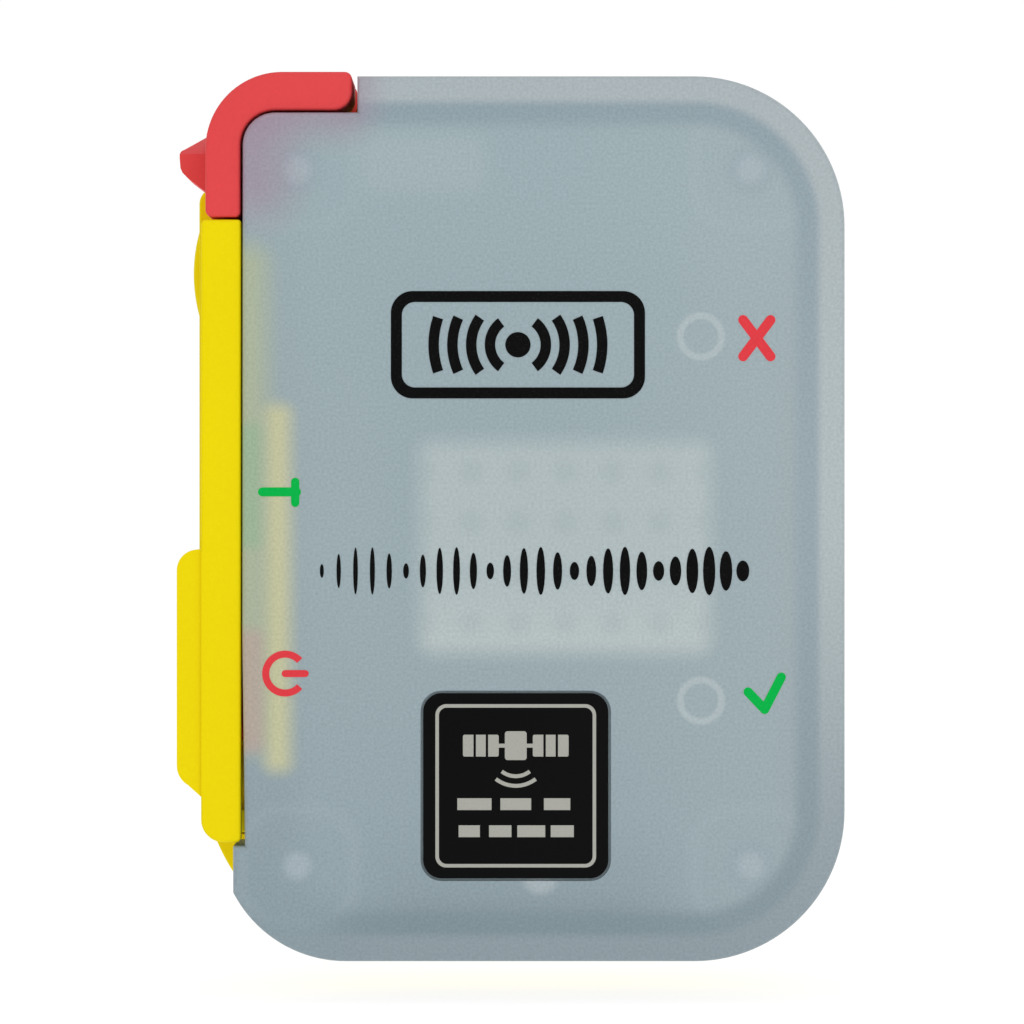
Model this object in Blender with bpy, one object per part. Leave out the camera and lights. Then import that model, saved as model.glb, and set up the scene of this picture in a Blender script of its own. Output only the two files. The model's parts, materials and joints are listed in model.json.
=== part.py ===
"""Pocket emergency position beacon: yellow rear case, frosted front cover, hinged side guard over
two buttons, flip-up corner latch and a spring-tape aerial stowed in a channel round the edge.

Frame: X to the right and Z up as seen from the front, Y from the front to the back.
The origin is at the middle of the underside. Sizes below are in millimetres.
"""
import math

import bmesh
import bpy

MM = 0.001

# Overall sizes
COVER_RIGHT = 38.3
COVER_TOP = 101.45
LEFT_FACE = -30.75
FRONT = -20.0
BACK = 20.0
CORNER = 17.2
LOW_LEFT_CORNER = 14.5
LOW_LEFT_CENTRE_X = -18.9
GAP = 0.3

# Front cover
COVER_REAR = -8.2
COVER_EDGE_ROUND = 1.6
COVER_WALL = 2.4
COVER_FACE_WALL = 2.2
COVER_RIM = 2.0
LOW_STEP_X = -31.8
LOW_STEP_TOP = 13.2
HINGE_RELIEF_X = -30.45
HINGE_RELIEF_TOP = 37.0

# Rear case
CASE_LEFT = -33.2
CASE_RIGHT = COVER_RIGHT - 0.9
CASE_TOP = COVER_TOP - 0.55
CASE_CORNER = 16.0
CASE_BACK_ROUND = 3.0
CASE_FLOOR_WALL = 2.2
CHANNEL_REAR = -2.6
CHANNEL_DEPTH = 3.0
BAY_FLOOR_X = -28.3
BAY_REAR = 5.2
BAY_BOTTOM = 13.3
RAIL_X = -37.5
RAIL_BOTTOM = 9.0
RAIL_FOOT_ROUND = 9.0
RAIL_INNER_X = -25.2
RAIL_TOP = COVER_TOP - 10.85
RAIL_DEPTH = 8.0
THUMB_RISE = 0.75
THUMB_BOTTOM = COVER_TOP - 26.55
THUMB_TOP = COVER_TOP - 15.95

# Sealed chamber and its corner posts
CHAMBER_INSET = 6.0
POST_REACH = 7.0
POST_REACH_LATCH = 9.8
POST_ROUND = 5.5
SCREW_LEFT = LEFT_FACE + 6.35
SCREW_RIGHT = COVER_RIGHT - 10.8
SCREW_LOW = 11.0
SCREW_HIGH = COVER_TOP - 10.75
SCREW_HOLE = 1.45
SCREW_SHANK = 1.15
SCREW_HEAD = 2.4
SCREW_HEAD_HEIGHT = 2.0
SCREW_SINK = 5.7
BOSS = 3.0
GASKET_NEAR = 0.9
GASKET_FAR = 2.1
GASKET_THICK = 1.0

# Latch cap on the upper left corner
LATCH_LEFT = -35.0
LATCH_TOP = COVER_TOP + 0.55
LATCH_LEG_BOTTOM = LATCH_TOP - 16.65
LATCH_REAR = 4.8
LATCH_FRONT = -19.4
LATCH_CORNER = 8.8
LATCH_PIVOT_X = -20.4
LATCH_HEEL = 2.2
LATCH_HEEL_CORNER = 1.0
LATCH_SWING_GAP = 0.15
LATCH_INNER_X = -27.0
LATCH_INNER_ROUND = 4.0
KNOB_X = -38.3
KNOB_BOTTOM = LATCH_TOP - 13.3
KNOB_TOP = LATCH_TOP - 6.7
KNOB_FRONT = -15.0
KNOB_REAR = -2.0

# Side guard
GUARD_LEFT = -35.5
GUARD_RIGHT = -31.05
GUARD_BOTTOM = 13.6
GUARD_FRONT = -19.4
GUARD_REAR = 4.6
GUARD_WALL = 1.4
GUARD_LEG = 1.8
GUARD_ROUND = 2.6
GUARD_PIVOT_X = -33.7
GUARD_PIVOT_Z = 15.2
GUARD_FORK_TOP = 18.3
HUMP_X = -38.3
HUMP_BOTTOM = 18.8
HUMP_TOP = 47.2

# Hinge pins
PIN = 0.6
PIN_HOLE = 0.72
PIN_LUG = 1.5
PIN_COVER = 0.9
LUG_FRONT = -7.5
GUARD_LUG_REAR = 2.3
LATCH_LUG_REAR = -2.9

# Buttons
BUTTON_Y = -2.2
BUTTON_WIDTH = 7.6
BUTTON_LENGTH = 15.0
BUTTON_WALL = 1.2
TEST_Z = 54.3
ACTIVATE_Z = 32.0
TEST_TOP_X = -33.4
ACTIVATE_TOP_X = -36.2
TEST_TRAVEL = 1.0
ACTIVATE_TRAVEL = 1.5
WELL_FLOOR_X = -27.1
STEM = 1.2
STEM_HOLE = 1.5
STEM_END_X = -22.6
SEAL_OUTER = 2.7
SEAL_THICK = 0.6
CLIP_OUTER = 2.3
CLIP_THICK = 0.5
SPRING_COIL = 2.0
SPRING_WIRE = 0.2
SPRING_TURNS = 3

# Circuit board and what it carries
BOARD_FRONT = -10.6
BOARD_THICK = 1.6
BOARD_MARGIN = 0.5
CAN_X = 6.25
CAN_Z = 47.45
CAN_WIDTH = 32.7
CAN_HEIGHT = 23.7
CAN_FRONT = -14.2
CAN_WALL = 0.4
CAN_HOLE = 0.9
CAN_PITCH_X = 5.4
CAN_PITCH_Z = 5.8
CAN_COLUMNS = 5
CAN_ROWS = 4
LIGHT_X = 21.8
FAIL_Z = 71.6
PASS_Z = 29.9
LIGHT_OUTER = 2.75
LIGHT_INNER = 2.06
LIGHT_FRONT = -17.5
LED = 1.5
POST_A = (-12.5, 33.0)
POST_B = (COVER_RIGHT - 20.3, COVER_TOP - 17.45)
POST_RADIUS = 2.2
POST_HOLE = 0.95
BOARD_SCREW_HEAD = 2.0
BOARD_SCREW_HEAD_HEIGHT = 1.1
BOARD_SCREW_SHANK = 0.75
BOARD_SCREW_LENGTH = 10.0
STROBE_LEFT = -17.0
STROBE_RIGHT = -3.0
STROBE_BOTTOM = COVER_TOP - 13.25
STROBE_TOP = COVER_TOP - 6.85
STROBE_DEPTH = 3.0
STROBE_DISH = 2.4
STROBE_DISH_DEPTH = 1.2
STROBE_LED = 1.7
ANTENNA_Z = 21.2
ANTENNA_SIDE = 17.0
ANTENNA_FRONT = -15.0
VENT_X = 3.4
VENT_Z = 9.7
VENT_CORE = 1.5
VENT_REACH = 2.5
VENT_FRONT = -14.6
VENT_RIB_HALF = 0.28
VENT_RIBS = 8
SWITCH_RAIL_RIGHT = -25.2
SWITCH_RAIL_BOTTOM = 21.9
SWITCH_RAIL_TOP = 63.7
SWITCH_RAIL_FRONT = -16.6

# Label panels
LABEL_X = 0.6
LABEL_Z = 20.15
LABEL_SIDE = 21.2
LABEL_CORNER = 2.1
REAR_LABEL_X = 2.0
REAR_LABEL_Z = 52.0
REAR_LABEL_WIDTH = 44.0
REAR_LABEL_HEIGHT = 56.0
LABEL_THICK = 0.2
LABEL_SINK = 0.55

# Batteries
CELL_RADIUS = 8.5
CELL_LENGTH = 34.5
CELL_SPACING = 18.4
CELLS_X = (LEFT_FACE + COVER_RIGHT) / 2
CELLS_Z = 60.0
CELL_Y = BACK - 11.4
CELL_EDGE = 0.6
CELL_SHOULDER = 0.9
CELL_CAP = 3.2
CRADLE_SIDE = 1.4
CRADLE_END = 2.6
TROUGH_WALL = 1.2
CONTACT_THICK = 0.5
CONTACT_SHORT = 2.5
CONTACT_REACH = 7.0
PLUG_LEFT = -20.0
PLUG_RIGHT = -14.0
PLUG_REAR = -5.0
PLUG_BOTTOM = COVER_TOP - 23.45
PLUG_TOP = COVER_TOP - 18.45

# Tape aerial
TAPE_INSET = 1.9
TAPE_THICK = 0.5
TAPE_WIDTH = 4.6
TAPE_START_X = -8.7
TAPE_TIP_X = -16.9
TIP_LENGTH = 3.0
TIP_THICK = 1.4
LINKS_PER_CORNER = 4
LINK_GAP = 0.4

FAR = 90.0


def clear_scene():
    """Empty the scene, whatever it held."""
    for item in list(bpy.data.objects):
        bpy.data.objects.remove(item, do_unlink=True)


# ---------------------------------------------------------------- materials

def make_material(name, colour, roughness, metallic=0.0, transmission=0.0):
    """A Principled material in one colour."""
    material = bpy.data.materials.new(name)
    material.use_nodes = True
    shader = material.node_tree.nodes["Principled BSDF"]
    shader.inputs["Base Color"].default_value = (*colour, 1.0)
    shader.inputs["Roughness"].default_value = roughness
    shader.inputs["Metallic"].default_value = metallic
    shader.inputs["Transmission Weight"].default_value = transmission
    material.diffuse_color = (*colour, 1.0)
    return material


# ---------------------------------------------------------------- outlines (x, z), anticlockwise

def arc(centre_x, centre_z, radius, start, end, steps):
    """Points on a circle from the start angle to the end angle, in degrees, both included."""
    points = []
    for step in range(steps + 1):
        angle = math.radians(start + (end - start) * step / steps)
        points.append((centre_x + radius * math.cos(angle), centre_z + radius * math.sin(angle)))
    return points


def rounded_rectangle(left, right, bottom, top, radius, steps=6):
    """A rectangle with equal round corners."""
    points = arc(right - radius, bottom + radius, radius, -90, 0, steps)
    points += arc(right - radius, top - radius, radius, 0, 90, steps)
    points += arc(left + radius, top - radius, radius, 90, 180, steps)
    points += arc(left + radius, bottom + radius, radius, 180, 270, steps)
    return points


def centred_rectangle(centre_x, centre_z, width, height, radius, steps=4):
    """A rounded rectangle given by its middle and its sides."""
    return rounded_rectangle(
        centre_x - width / 2, centre_x + width / 2,
        centre_z - height / 2, centre_z + height / 2, radius, steps)


def latch_wall_x():
    """X of the cover's upright wall beside the latch's heel."""
    reach = (LATCH_HEEL - LATCH_HEEL_CORNER) * math.sqrt(2) + LATCH_HEEL_CORNER
    return LATCH_PIVOT_X + reach + LATCH_SWING_GAP


def latch_pivot_z():
    """Height of the latch's pin, which its round heel is centred on."""
    return LATCH_TOP - LATCH_HEEL


def latch_floor_z():
    """Height of the ledge in the cover under the latch."""
    return latch_pivot_z() - LATCH_HEEL - GAP


def latch_inner_z():
    """Height of the centre of the latch's inner round."""
    return latch_pivot_z() - LATCH_HEEL - LATCH_INNER_ROUND


def low_left_arc(inset, left, steps=7):
    """The lower left round, from an upright line at left down to the underside."""
    radius = LOW_LEFT_CORNER - inset
    start = math.degrees(math.acos((left - LOW_LEFT_CENTRE_X) / radius))
    return arc(LOW_LEFT_CENTRE_X, LOW_LEFT_CORNER, radius, 360 - start, 270, steps)


def cover_outline():
    """The front cover's outline, with the latch's ledge and the step under the guard."""
    right_centre = COVER_RIGHT - CORNER
    points = arc(right_centre, CORNER, CORNER, -90, 0, 9)
    points += arc(right_centre, COVER_TOP - CORNER, CORNER, 0, 90, 9)
    points.append((latch_wall_x(), COVER_TOP))
    points.append((latch_wall_x(), latch_floor_z()))
    points += arc(LATCH_INNER_X, latch_inner_z(), LATCH_INNER_ROUND - GAP, 90, 180, 5)
    points.append((LEFT_FACE, HINGE_RELIEF_TOP))
    points.append((HINGE_RELIEF_X, LOW_STEP_TOP))
    points.append((LOW_STEP_X, LOW_STEP_TOP))
    points += low_left_arc(0.0, LOW_STEP_X)
    return points


def cover_hollow_outline():
    """The hollow just behind the cover's face."""
    inset = COVER_WALL
    right_centre = COVER_RIGHT - CORNER
    left = LEFT_FACE + inset
    ledge = latch_floor_z() - inset
    points = arc(right_centre, CORNER, CORNER - inset, -90, 0, 7)
    points += arc(right_centre, COVER_TOP - CORNER, CORNER - inset, 0, 90, 7)
    points.append((latch_wall_x() + inset, COVER_TOP - inset))
    points.append((latch_wall_x() + inset, ledge))
    points.append((left + 1.3, ledge))
    points.append((left, ledge - 1.3))
    points += low_left_arc(inset, left)
    return points


def channel_floor_outline():
    """The upstand that forms the floor of the aerial's channel and of the button bay."""
    inset = CHANNEL_DEPTH
    right_centre = COVER_RIGHT - CORNER
    ledge = latch_floor_z() - GAP
    points = arc(right_centre, CORNER, CORNER - inset, -90, 0, 9)
    points += arc(right_centre, COVER_TOP - CORNER, CORNER - inset, 0, 90, 9)
    points.append((latch_wall_x() + GAP, COVER_TOP - inset))
    points.append((latch_wall_x() + GAP, ledge))
    points.append((BAY_FLOOR_X + 1.5, ledge))
    points.append((BAY_FLOOR_X, ledge - 1.5))
    points += low_left_arc(inset, BAY_FLOOR_X)
    return points


def seal_outline(grow):
    """The sealed chamber's outline, which steps round the corner screws, grown outwards."""
    left = LEFT_FACE + CHAMBER_INSET - grow
    right = COVER_RIGHT - CHAMBER_INSET + grow
    bottom = CHAMBER_INSET - grow
    top = COVER_TOP - CHAMBER_INSET + grow
    reach = POST_REACH - grow
    latch_reach = POST_REACH_LATCH - grow
    bend = POST_ROUND - grow
    x_low_left = SCREW_LEFT + reach
    x_right = SCREW_RIGHT - reach
    x_latch = SCREW_LEFT + latch_reach
    z_low = SCREW_LOW + reach
    z_high = SCREW_HIGH - reach
    points = [(x_low_left, bottom), (x_right, bottom)]
    points += arc(x_right + bend, z_low - bend, bend, 180, 90, 5)
    points += [(right, z_low), (right, z_high)]
    points += arc(x_right + bend, z_high + bend, bend, 270, 180, 5)
    points += [(x_right, top), (x_latch, top)]
    points += arc(x_latch - bend, z_high + bend, bend, 360, 270, 5)
    points += [(left, z_high), (left, z_low)]
    points += arc(x_low_left - bend, z_low - bend, bend, 90, 0, 5)
    return points


def latch_outline():
    """The latch cap seen from the front: a short arm, a round corner and a leg."""
    right_of_leg = LATCH_INNER_X - LATCH_INNER_ROUND
    underside = latch_pivot_z() - LATCH_HEEL
    points = arc(LATCH_PIVOT_X, latch_pivot_z(), LATCH_HEEL, -90, 0, 6)
    points += arc(LATCH_PIVOT_X + LATCH_HEEL - LATCH_HEEL_CORNER, LATCH_TOP - LATCH_HEEL_CORNER,
                  LATCH_HEEL_CORNER, 0, 90, 4)
    points += arc(LATCH_LEFT + LATCH_CORNER, LATCH_TOP - LATCH_CORNER, LATCH_CORNER, 90, 180, 9)
    points += arc(LATCH_LEFT + 0.8, LATCH_LEG_BOTTOM + 0.8, 0.8, 180, 270, 3)
    points += arc(right_of_leg - 0.6, LATCH_LEG_BOTTOM + 0.6, 0.6, 270, 360, 3)
    points += arc(LATCH_INNER_X, underside - LATCH_INNER_ROUND, LATCH_INNER_ROUND, 180, 90, 5)
    return points


def knob_outline():
    """The pull knob on the latch's leg: a blunt wedge."""
    return [
        (LATCH_LEFT - 0.4, KNOB_BOTTOM),
        (LATCH_LEFT + 1.5, KNOB_BOTTOM),
        (LATCH_LEFT + 1.5, KNOB_TOP),
        (LATCH_LEFT - 0.2, KNOB_TOP),
        (KNOB_X + 0.5, KNOB_TOP - 1.5),
        (KNOB_X, KNOB_TOP - 2.1),
        (KNOB_X, KNOB_BOTTOM + 2.5),
        (KNOB_X + 0.5, KNOB_BOTTOM + 1.8),
    ]


def guard_outline():
    """The guard seen from the front: a long strip with a hump over the lower button."""
    top = LATCH_LEG_BOTTOM - GAP
    points = arc(GUARD_RIGHT - 0.6, GUARD_BOTTOM + 0.6, 0.6, 270, 360, 3)
    points += arc(GUARD_RIGHT - 0.4, top - 0.4, 0.4, 0, 90, 2)
    points += arc(GUARD_LEFT + 0.6, top - 0.6, 0.6, 90, 180, 3)
    points.append((GUARD_LEFT, HUMP_TOP))
    points += arc(HUMP_X + 2.4, HUMP_TOP - 2.4, 2.4, 90, 180, 5)
    points += arc(HUMP_X + 2.6, HUMP_BOTTOM + 3.6, 2.6, 180, 240, 4)
    points.append((GUARD_LEFT, HUMP_BOTTOM))
    points += arc(GUARD_LEFT + GUARD_ROUND, GUARD_BOTTOM + GUARD_ROUND, GUARD_ROUND, 180, 270, 5)
    return points


def rail_outline():
    """The case's side rail, which sweeps in at its foot."""
    points = [(RAIL_INNER_X, RAIL_BOTTOM), (RAIL_INNER_X, RAIL_TOP)]
    points += arc(RAIL_X + 2.0, RAIL_TOP - 2.0, 2.0, 90, 180, 4)
    points += arc(RAIL_X + RAIL_FOOT_ROUND, RAIL_BOTTOM + RAIL_FOOT_ROUND, RAIL_FOOT_ROUND, 180, 270, 10)
    return points


def thumb_outline():
    """A shallow dome on the case's side rail, under the thumb."""
    half = (THUMB_TOP - THUMB_BOTTOM) / 2
    radius = (half * half + THUMB_RISE * THUMB_RISE) / (2 * THUMB_RISE)
    spread = math.degrees(math.asin(half / radius))
    centre_z = (THUMB_TOP + THUMB_BOTTOM) / 2
    points = arc(RAIL_X - THUMB_RISE + radius, centre_z, radius, 180 - spread, 180 + spread, 8)
    return points + [(RAIL_X + 1.0, THUMB_BOTTOM), (RAIL_X + 1.0, THUMB_TOP)]


# ---------------------------------------------------------------- solids

def link_mesh(name, bm):
    """Turn a bmesh into an object of the scene."""
    bmesh.ops.recalc_face_normals(bm, faces=bm.faces)
    mesh = bpy.data.meshes.new(name)
    bm.to_mesh(mesh)
    bm.free()
    item = bpy.data.objects.new(name, mesh)
    bpy.context.collection.objects.link(item)
    return item


def plate(name, outline, front, back, round_front=0.0, round_back=0.0, steps=3):
    """Extrude a front-view outline from front to back, with either rim rounded."""
    bm = bmesh.new()
    corners = [bm.verts.new((x * MM, front * MM, z * MM)) for x, z in outline]
    face = bm.faces.new(corners)
    made = bmesh.ops.extrude_face_region(bm, geom=[face])
    moved = [part for part in made["geom"] if isinstance(part, bmesh.types.BMVert)]
    bmesh.ops.translate(bm, vec=(0, (back - front) * MM, 0), verts=moved)
    bmesh.ops.recalc_face_normals(bm, faces=bm.faces)
    for level, radius in ((front, round_front), (back, round_back)):
        if radius:
            rim = [edge for edge in bm.edges
                   if all(abs(vert.co.y - level * MM) < 1e-7 for vert in edge.verts)]
            bmesh.ops.bevel(bm, geom=rim, offset=radius * MM, segments=steps, profile=0.5,
                            affect="EDGES", clamp_overlap=True)
    return link_mesh(name, bm)


def box(name, low, high):
    """A box between two corners in millimetres."""
    outline = [(low[0], low[2]), (high[0], low[2]), (high[0], high[2]), (low[0], high[2])]
    return plate(name, outline, low[1], high[1])


def turned(name, profile, steps=20):
    """Turn a profile of (radius, height) round the Z axis. It starts and ends on the axis."""
    bm = bmesh.new()
    rings = []
    for radius, height in profile:
        if radius == 0:
            rings.append([bm.verts.new((0, 0, height * MM))])
        else:
            ring = []
            for step in range(steps):
                angle = 2 * math.pi * step / steps
                ring.append(bm.verts.new((radius * MM * math.cos(angle),
                                          radius * MM * math.sin(angle), height * MM)))
            rings.append(ring)
    closed = len(rings[0]) > 1
    pairs = list(zip(rings, rings[1:]))
    if closed:
        pairs.append((rings[-1], rings[0]))
    for lower, upper in pairs:
        for step in range(steps):
            after = (step + 1) % steps
            if len(lower) == 1:
                bm.faces.new((lower[0], upper[step], upper[after]))
            elif len(upper) == 1:
                bm.faces.new((lower[step], lower[after], upper[0]))
            else:
                bm.faces.new((lower[step], lower[after], upper[after], upper[step]))
    return link_mesh(name, bm)


def rod(name, radius, start, end, steps=20):
    """A plain round rod from start to end, parallel to an axis."""
    length = max(abs(end[axis] - start[axis]) for axis in range(3))
    item = turned(name, [(0, 0), (radius, 0), (radius, length), (0, length)], steps)
    aim(item, start, end)
    return item


def ring(name, inner, outer, start, end, steps=20):
    """A washer or tube from start to end, parallel to an axis."""
    length = max(abs(end[axis] - start[axis]) for axis in range(3))
    item = turned(name, [(inner, 0), (outer, 0), (outer, length), (inner, length)], steps)
    aim(item, start, end)
    return item


def aim(item, start, end):
    """Stand a turned piece at start, pointing at end."""
    item.location = [value * MM for value in start]
    if end[0] != start[0]:
        item.rotation_euler = (0, math.copysign(math.pi / 2, end[0] - start[0]), 0)
    elif end[1] != start[1]:
        item.rotation_euler = (math.copysign(math.pi / 2, start[1] - end[1]), 0, 0)
    elif end[2] < start[2]:
        item.rotation_euler = (math.pi, 0, 0)


def combine(item, tool, operation):
    """Cut, join or keep what a tool object shares with a piece. The tool stays as a guide."""
    tool.hide_render = True
    tool.display_type = "WIRE"
    tool.name = "tool_" + item.name
    change = item.modifiers.new(operation.lower(), "BOOLEAN")
    change.operation = operation
    change.solver = "EXACT"
    change.object = tool


def cut(item, tool):
    combine(item, tool, "DIFFERENCE")


def join(item, tool):
    combine(item, tool, "UNION")


def finish(item, material, parent, smooth=35.0):
    """Give a piece its material, its shading and the empty it hangs on, kept where it is."""
    item.data.materials.append(material)
    item.data.shade_smooth()
    item.data.set_sharp_from_angle(angle=math.radians(smooth))
    item.parent = parent
    item.matrix_parent_inverse = parent.matrix_world.inverted()
    return item


def pivot(name, x=0.0, y=0.0, z=0.0, parent=None):
    """An empty on a joint's axis."""
    empty = bpy.data.objects.new(name, None)
    empty.location = (x * MM, y * MM, z * MM)
    empty.empty_display_size = 5 * MM
    bpy.context.collection.objects.link(empty)
    bpy.context.view_layer.update()
    if parent is not None:
        empty.parent = parent
        empty.matrix_parent_inverse = parent.matrix_world.inverted()
        bpy.context.view_layer.update()
    return empty


def screw_places():
    """The four corner screws, as (x, z)."""
    return [(x, z) for z in (SCREW_HIGH, SCREW_LOW) for x in (SCREW_LEFT, SCREW_RIGHT)]


def button_places():
    """Each button's name, height, outer face and travel."""
    return [("test", TEST_Z, TEST_TOP_X, TEST_TRAVEL),
            ("activate", ACTIVATE_Z, ACTIVATE_TOP_X, ACTIVATE_TRAVEL)]


# ---------------------------------------------------------------- casing

def make_rear_case(material, parent):
    """The rear shell: a deep tray with a channel round its edge and a bay down its left side."""
    outline = rounded_rectangle(CASE_LEFT, CASE_RIGHT, 0.0, CASE_TOP, CASE_CORNER, 8)
    case = plate("rear_case", outline, CHANNEL_REAR, BACK, round_back=CASE_BACK_ROUND)
    join(case, plate("rail", rail_outline(), BAY_REAR + 0.2, BAY_REAR + RAIL_DEPTH, 0.0, 0.6, 2))
    join(case, plate("thumb", thumb_outline(), BAY_REAR + 0.8, BAY_REAR + RAIL_DEPTH - 1.2))
    upstand_front = COVER_REAR + GAP
    join(case, plate("upstand", channel_floor_outline(), upstand_front, CHANNEL_REAR + 1.0))
    cut(case, box("bay", (-FAR, -FAR, BAY_BOTTOM), (BAY_FLOOR_X, BAY_REAR, 2 * FAR)))
    cut(case, box("latch_bay", (-FAR, -FAR, latch_floor_z() - GAP),
                  (latch_wall_x() + GAP, BAY_REAR, 2 * FAR)))
    cut(case, plate("chamber", seal_outline(0.0), -FAR, BACK - CASE_FLOOR_WALL))
    groove = plate("groove", seal_outline(GASKET_FAR + GAP), -FAR, upstand_front + GASKET_THICK + GAP)
    cut(groove, plate("groove_core", seal_outline(GASKET_NEAR - GAP), -2 * FAR, FAR))
    cut(case, groove)
    for x, z in screw_places():
        cut(case, rod("screw_hole", SCREW_HOLE, (x, -FAR, z), (x, FAR, z), 12))
        cut(case, rod("head_hole", SCREW_HEAD + GAP, (x, BACK - SCREW_SINK, z), (x, FAR, z), 16))
    for name, z, _, _ in button_places():
        half_width = BUTTON_WIDTH / 2 + GAP
        well = [(BUTTON_Y - half_width, z - BUTTON_LENGTH / 2 - GAP),
                (BUTTON_Y + half_width, z + BUTTON_LENGTH / 2 + GAP)]
        cut(case, box(name + "_well", (-FAR, well[0][0], well[0][1]), (WELL_FLOOR_X, well[1][0], well[1][1])))
        cut(case, rod(name + "_stem_hole", STEM_HOLE, (-FAR, BUTTON_Y, z), (-15.0, BUTTON_Y, z), 14))
    for x, z in (POST_A, POST_B):
        join(case, rod("post", POST_RADIUS, (x, BACK - 1.0, z), (x, BOARD_FRONT + BOARD_THICK + GAP, z), 14))
        hole_end = BOARD_FRONT + BOARD_SCREW_LENGTH + 2.0
        cut(case, rod("post_hole", POST_HOLE, (x, -FAR, z), (x, hole_end, z), 10))
    add_lugs(case)
    cut(case, plate("rear_label_seat",
                    centred_rectangle(REAR_LABEL_X, REAR_LABEL_Z, REAR_LABEL_WIDTH + 2 * GAP,
                                      REAR_LABEL_HEIGHT + 2 * GAP, 3.0),
                    BACK - LABEL_SINK, FAR))
    finish(case, material, parent)


def add_lugs(case):
    """The two lugs that carry the guard's pin and the latch's pin."""
    x, z = GUARD_PIVOT_X, GUARD_PIVOT_Z
    arm = [(BAY_FLOOR_X + 1.0, z - 1.0), (BAY_FLOOR_X + 1.0, z + 1.2)] + arc(x, z, PIN_LUG, 80, 280, 10)
    join(case, plate("guard_lug", arm, LUG_FRONT, GUARD_LUG_REAR))
    cut(case, rod("guard_pin_hole", PIN_HOLE, (x, LUG_FRONT - 1.0, z), (x, GUARD_LUG_REAR + 1.0, z), 14))
    x, z = LATCH_PIVOT_X, latch_pivot_z()
    foot = latch_floor_z() - GAP - 1.0
    arm = [(x - PIN_LUG, foot), (x + PIN_LUG, foot)] + arc(x, z, PIN_LUG, 0, 180, 10)
    join(case, plate("latch_lug", arm, LUG_FRONT, LATCH_LUG_REAR))
    cut(case, rod("latch_pin_hole", PIN_HOLE, (x, LUG_FRONT - 1.0, z), (x, LATCH_LUG_REAR + 1.0, z), 14))


def make_front_cover(material, parent):
    """The frosted front shell, with four screw bosses and a flat rim over the gasket."""
    cover = plate("front_cover", cover_outline(), FRONT, COVER_REAR, round_front=COVER_EDGE_ROUND)
    inner_front = FRONT + COVER_FACE_WALL
    rim_front = COVER_REAR - COVER_RIM
    cut(cover, plate("hollow", cover_hollow_outline(), inner_front, rim_front))
    for x, z in screw_places():
        join(cover, rod("boss", BOSS, (x, inner_front - 0.5, z), (x, rim_front + 0.5, z), 16))
    cut(cover, plate("mouth", seal_outline(0.0), inner_front + 1.0, FAR))
    for x, z in screw_places():
        cut(cover, rod("boss_hole", SCREW_HOLE, (x, FRONT + 4.2, z), (x, FAR, z), 12))
    seat = centred_rectangle(LABEL_X, LABEL_Z, LABEL_SIDE + 2 * GAP, LABEL_SIDE + 2 * GAP, LABEL_CORNER + GAP)
    cut(cover, plate("label_seat", seat, -FAR, FRONT + LABEL_SINK))
    finish(cover, material, parent)


def make_gasket(material, parent):
    """The gasket between the two shells."""
    front = COVER_REAR + GAP
    gasket = plate("case_gasket", seal_outline(GASKET_FAR), front, front + GASKET_THICK)
    cut(gasket, plate("gasket_core", seal_outline(GASKET_NEAR), -FAR, FAR))
    finish(gasket, material, parent)


def make_case_screws(material, parent):
    """Four long pan-head screws, driven from the back into the cover's bosses."""
    head_seat = BACK - SCREW_SINK + GAP
    length = head_seat - (FRONT + 5.0)
    profile = [(0, 0), (SCREW_SHANK, 0), (SCREW_SHANK, length), (SCREW_HEAD, length),
               (SCREW_HEAD, length + 0.7 * SCREW_HEAD_HEIGHT),
               (0.7 * SCREW_HEAD, length + SCREW_HEAD_HEIGHT), (0, length + SCREW_HEAD_HEIGHT)]
    for number, (x, z) in enumerate(screw_places(), start=1):
        screw = turned("case_screw_%d" % number, profile, 16)
        aim(screw, (x, FRONT + 5.0, z), (x, FAR, z))
        top = head_seat + SCREW_HEAD_HEIGHT
        cut(screw, rod("socket", 1.1, (x, top - 1.2, z), (x, top + 1.0, z), 6))
        finish(screw, material, parent)


def make_label(name, x, z, width, height, radius, front, back, material, parent):
    """A thin flat label panel that sits in a shallow seat."""
    label = plate(name, centred_rectangle(x, z, width, height, radius), front, back)
    finish(label, material, parent)


# ---------------------------------------------------------------- guard and latch

def make_guard(material, parent):
    """The channel-section guard, forked at its lower end round the case's lug."""
    guard = plate("side_guard", guard_outline(), GUARD_FRONT, GUARD_REAR, 0.5, 0.5, 2)
    front = GUARD_FRONT + GUARD_LEG
    rear = GUARD_REAR - 1.5
    web = GUARD_LEFT + GUARD_WALL
    top = LATCH_LEG_BOTTOM - GAP - GUARD_WALL
    cut(guard, box("hollow", (web, front, -FAR), (FAR, rear, top)))
    cut(guard, box("fork", (-FAR, front, -FAR), (FAR, rear, GUARD_FORK_TOP)))
    cut(guard, box("hump_hollow", (HUMP_X + GUARD_WALL, front, HUMP_BOTTOM + 2.2),
                   (web + 1.0, rear, HUMP_TOP - 1.6)))
    x, z = GUARD_PIVOT_X, GUARD_PIVOT_Z
    cut(guard, rod("pin_hole", PIN_HOLE, (x, GUARD_FRONT + PIN_COVER, z), (x, FAR, z), 14))
    finish(guard, material, parent)


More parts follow.
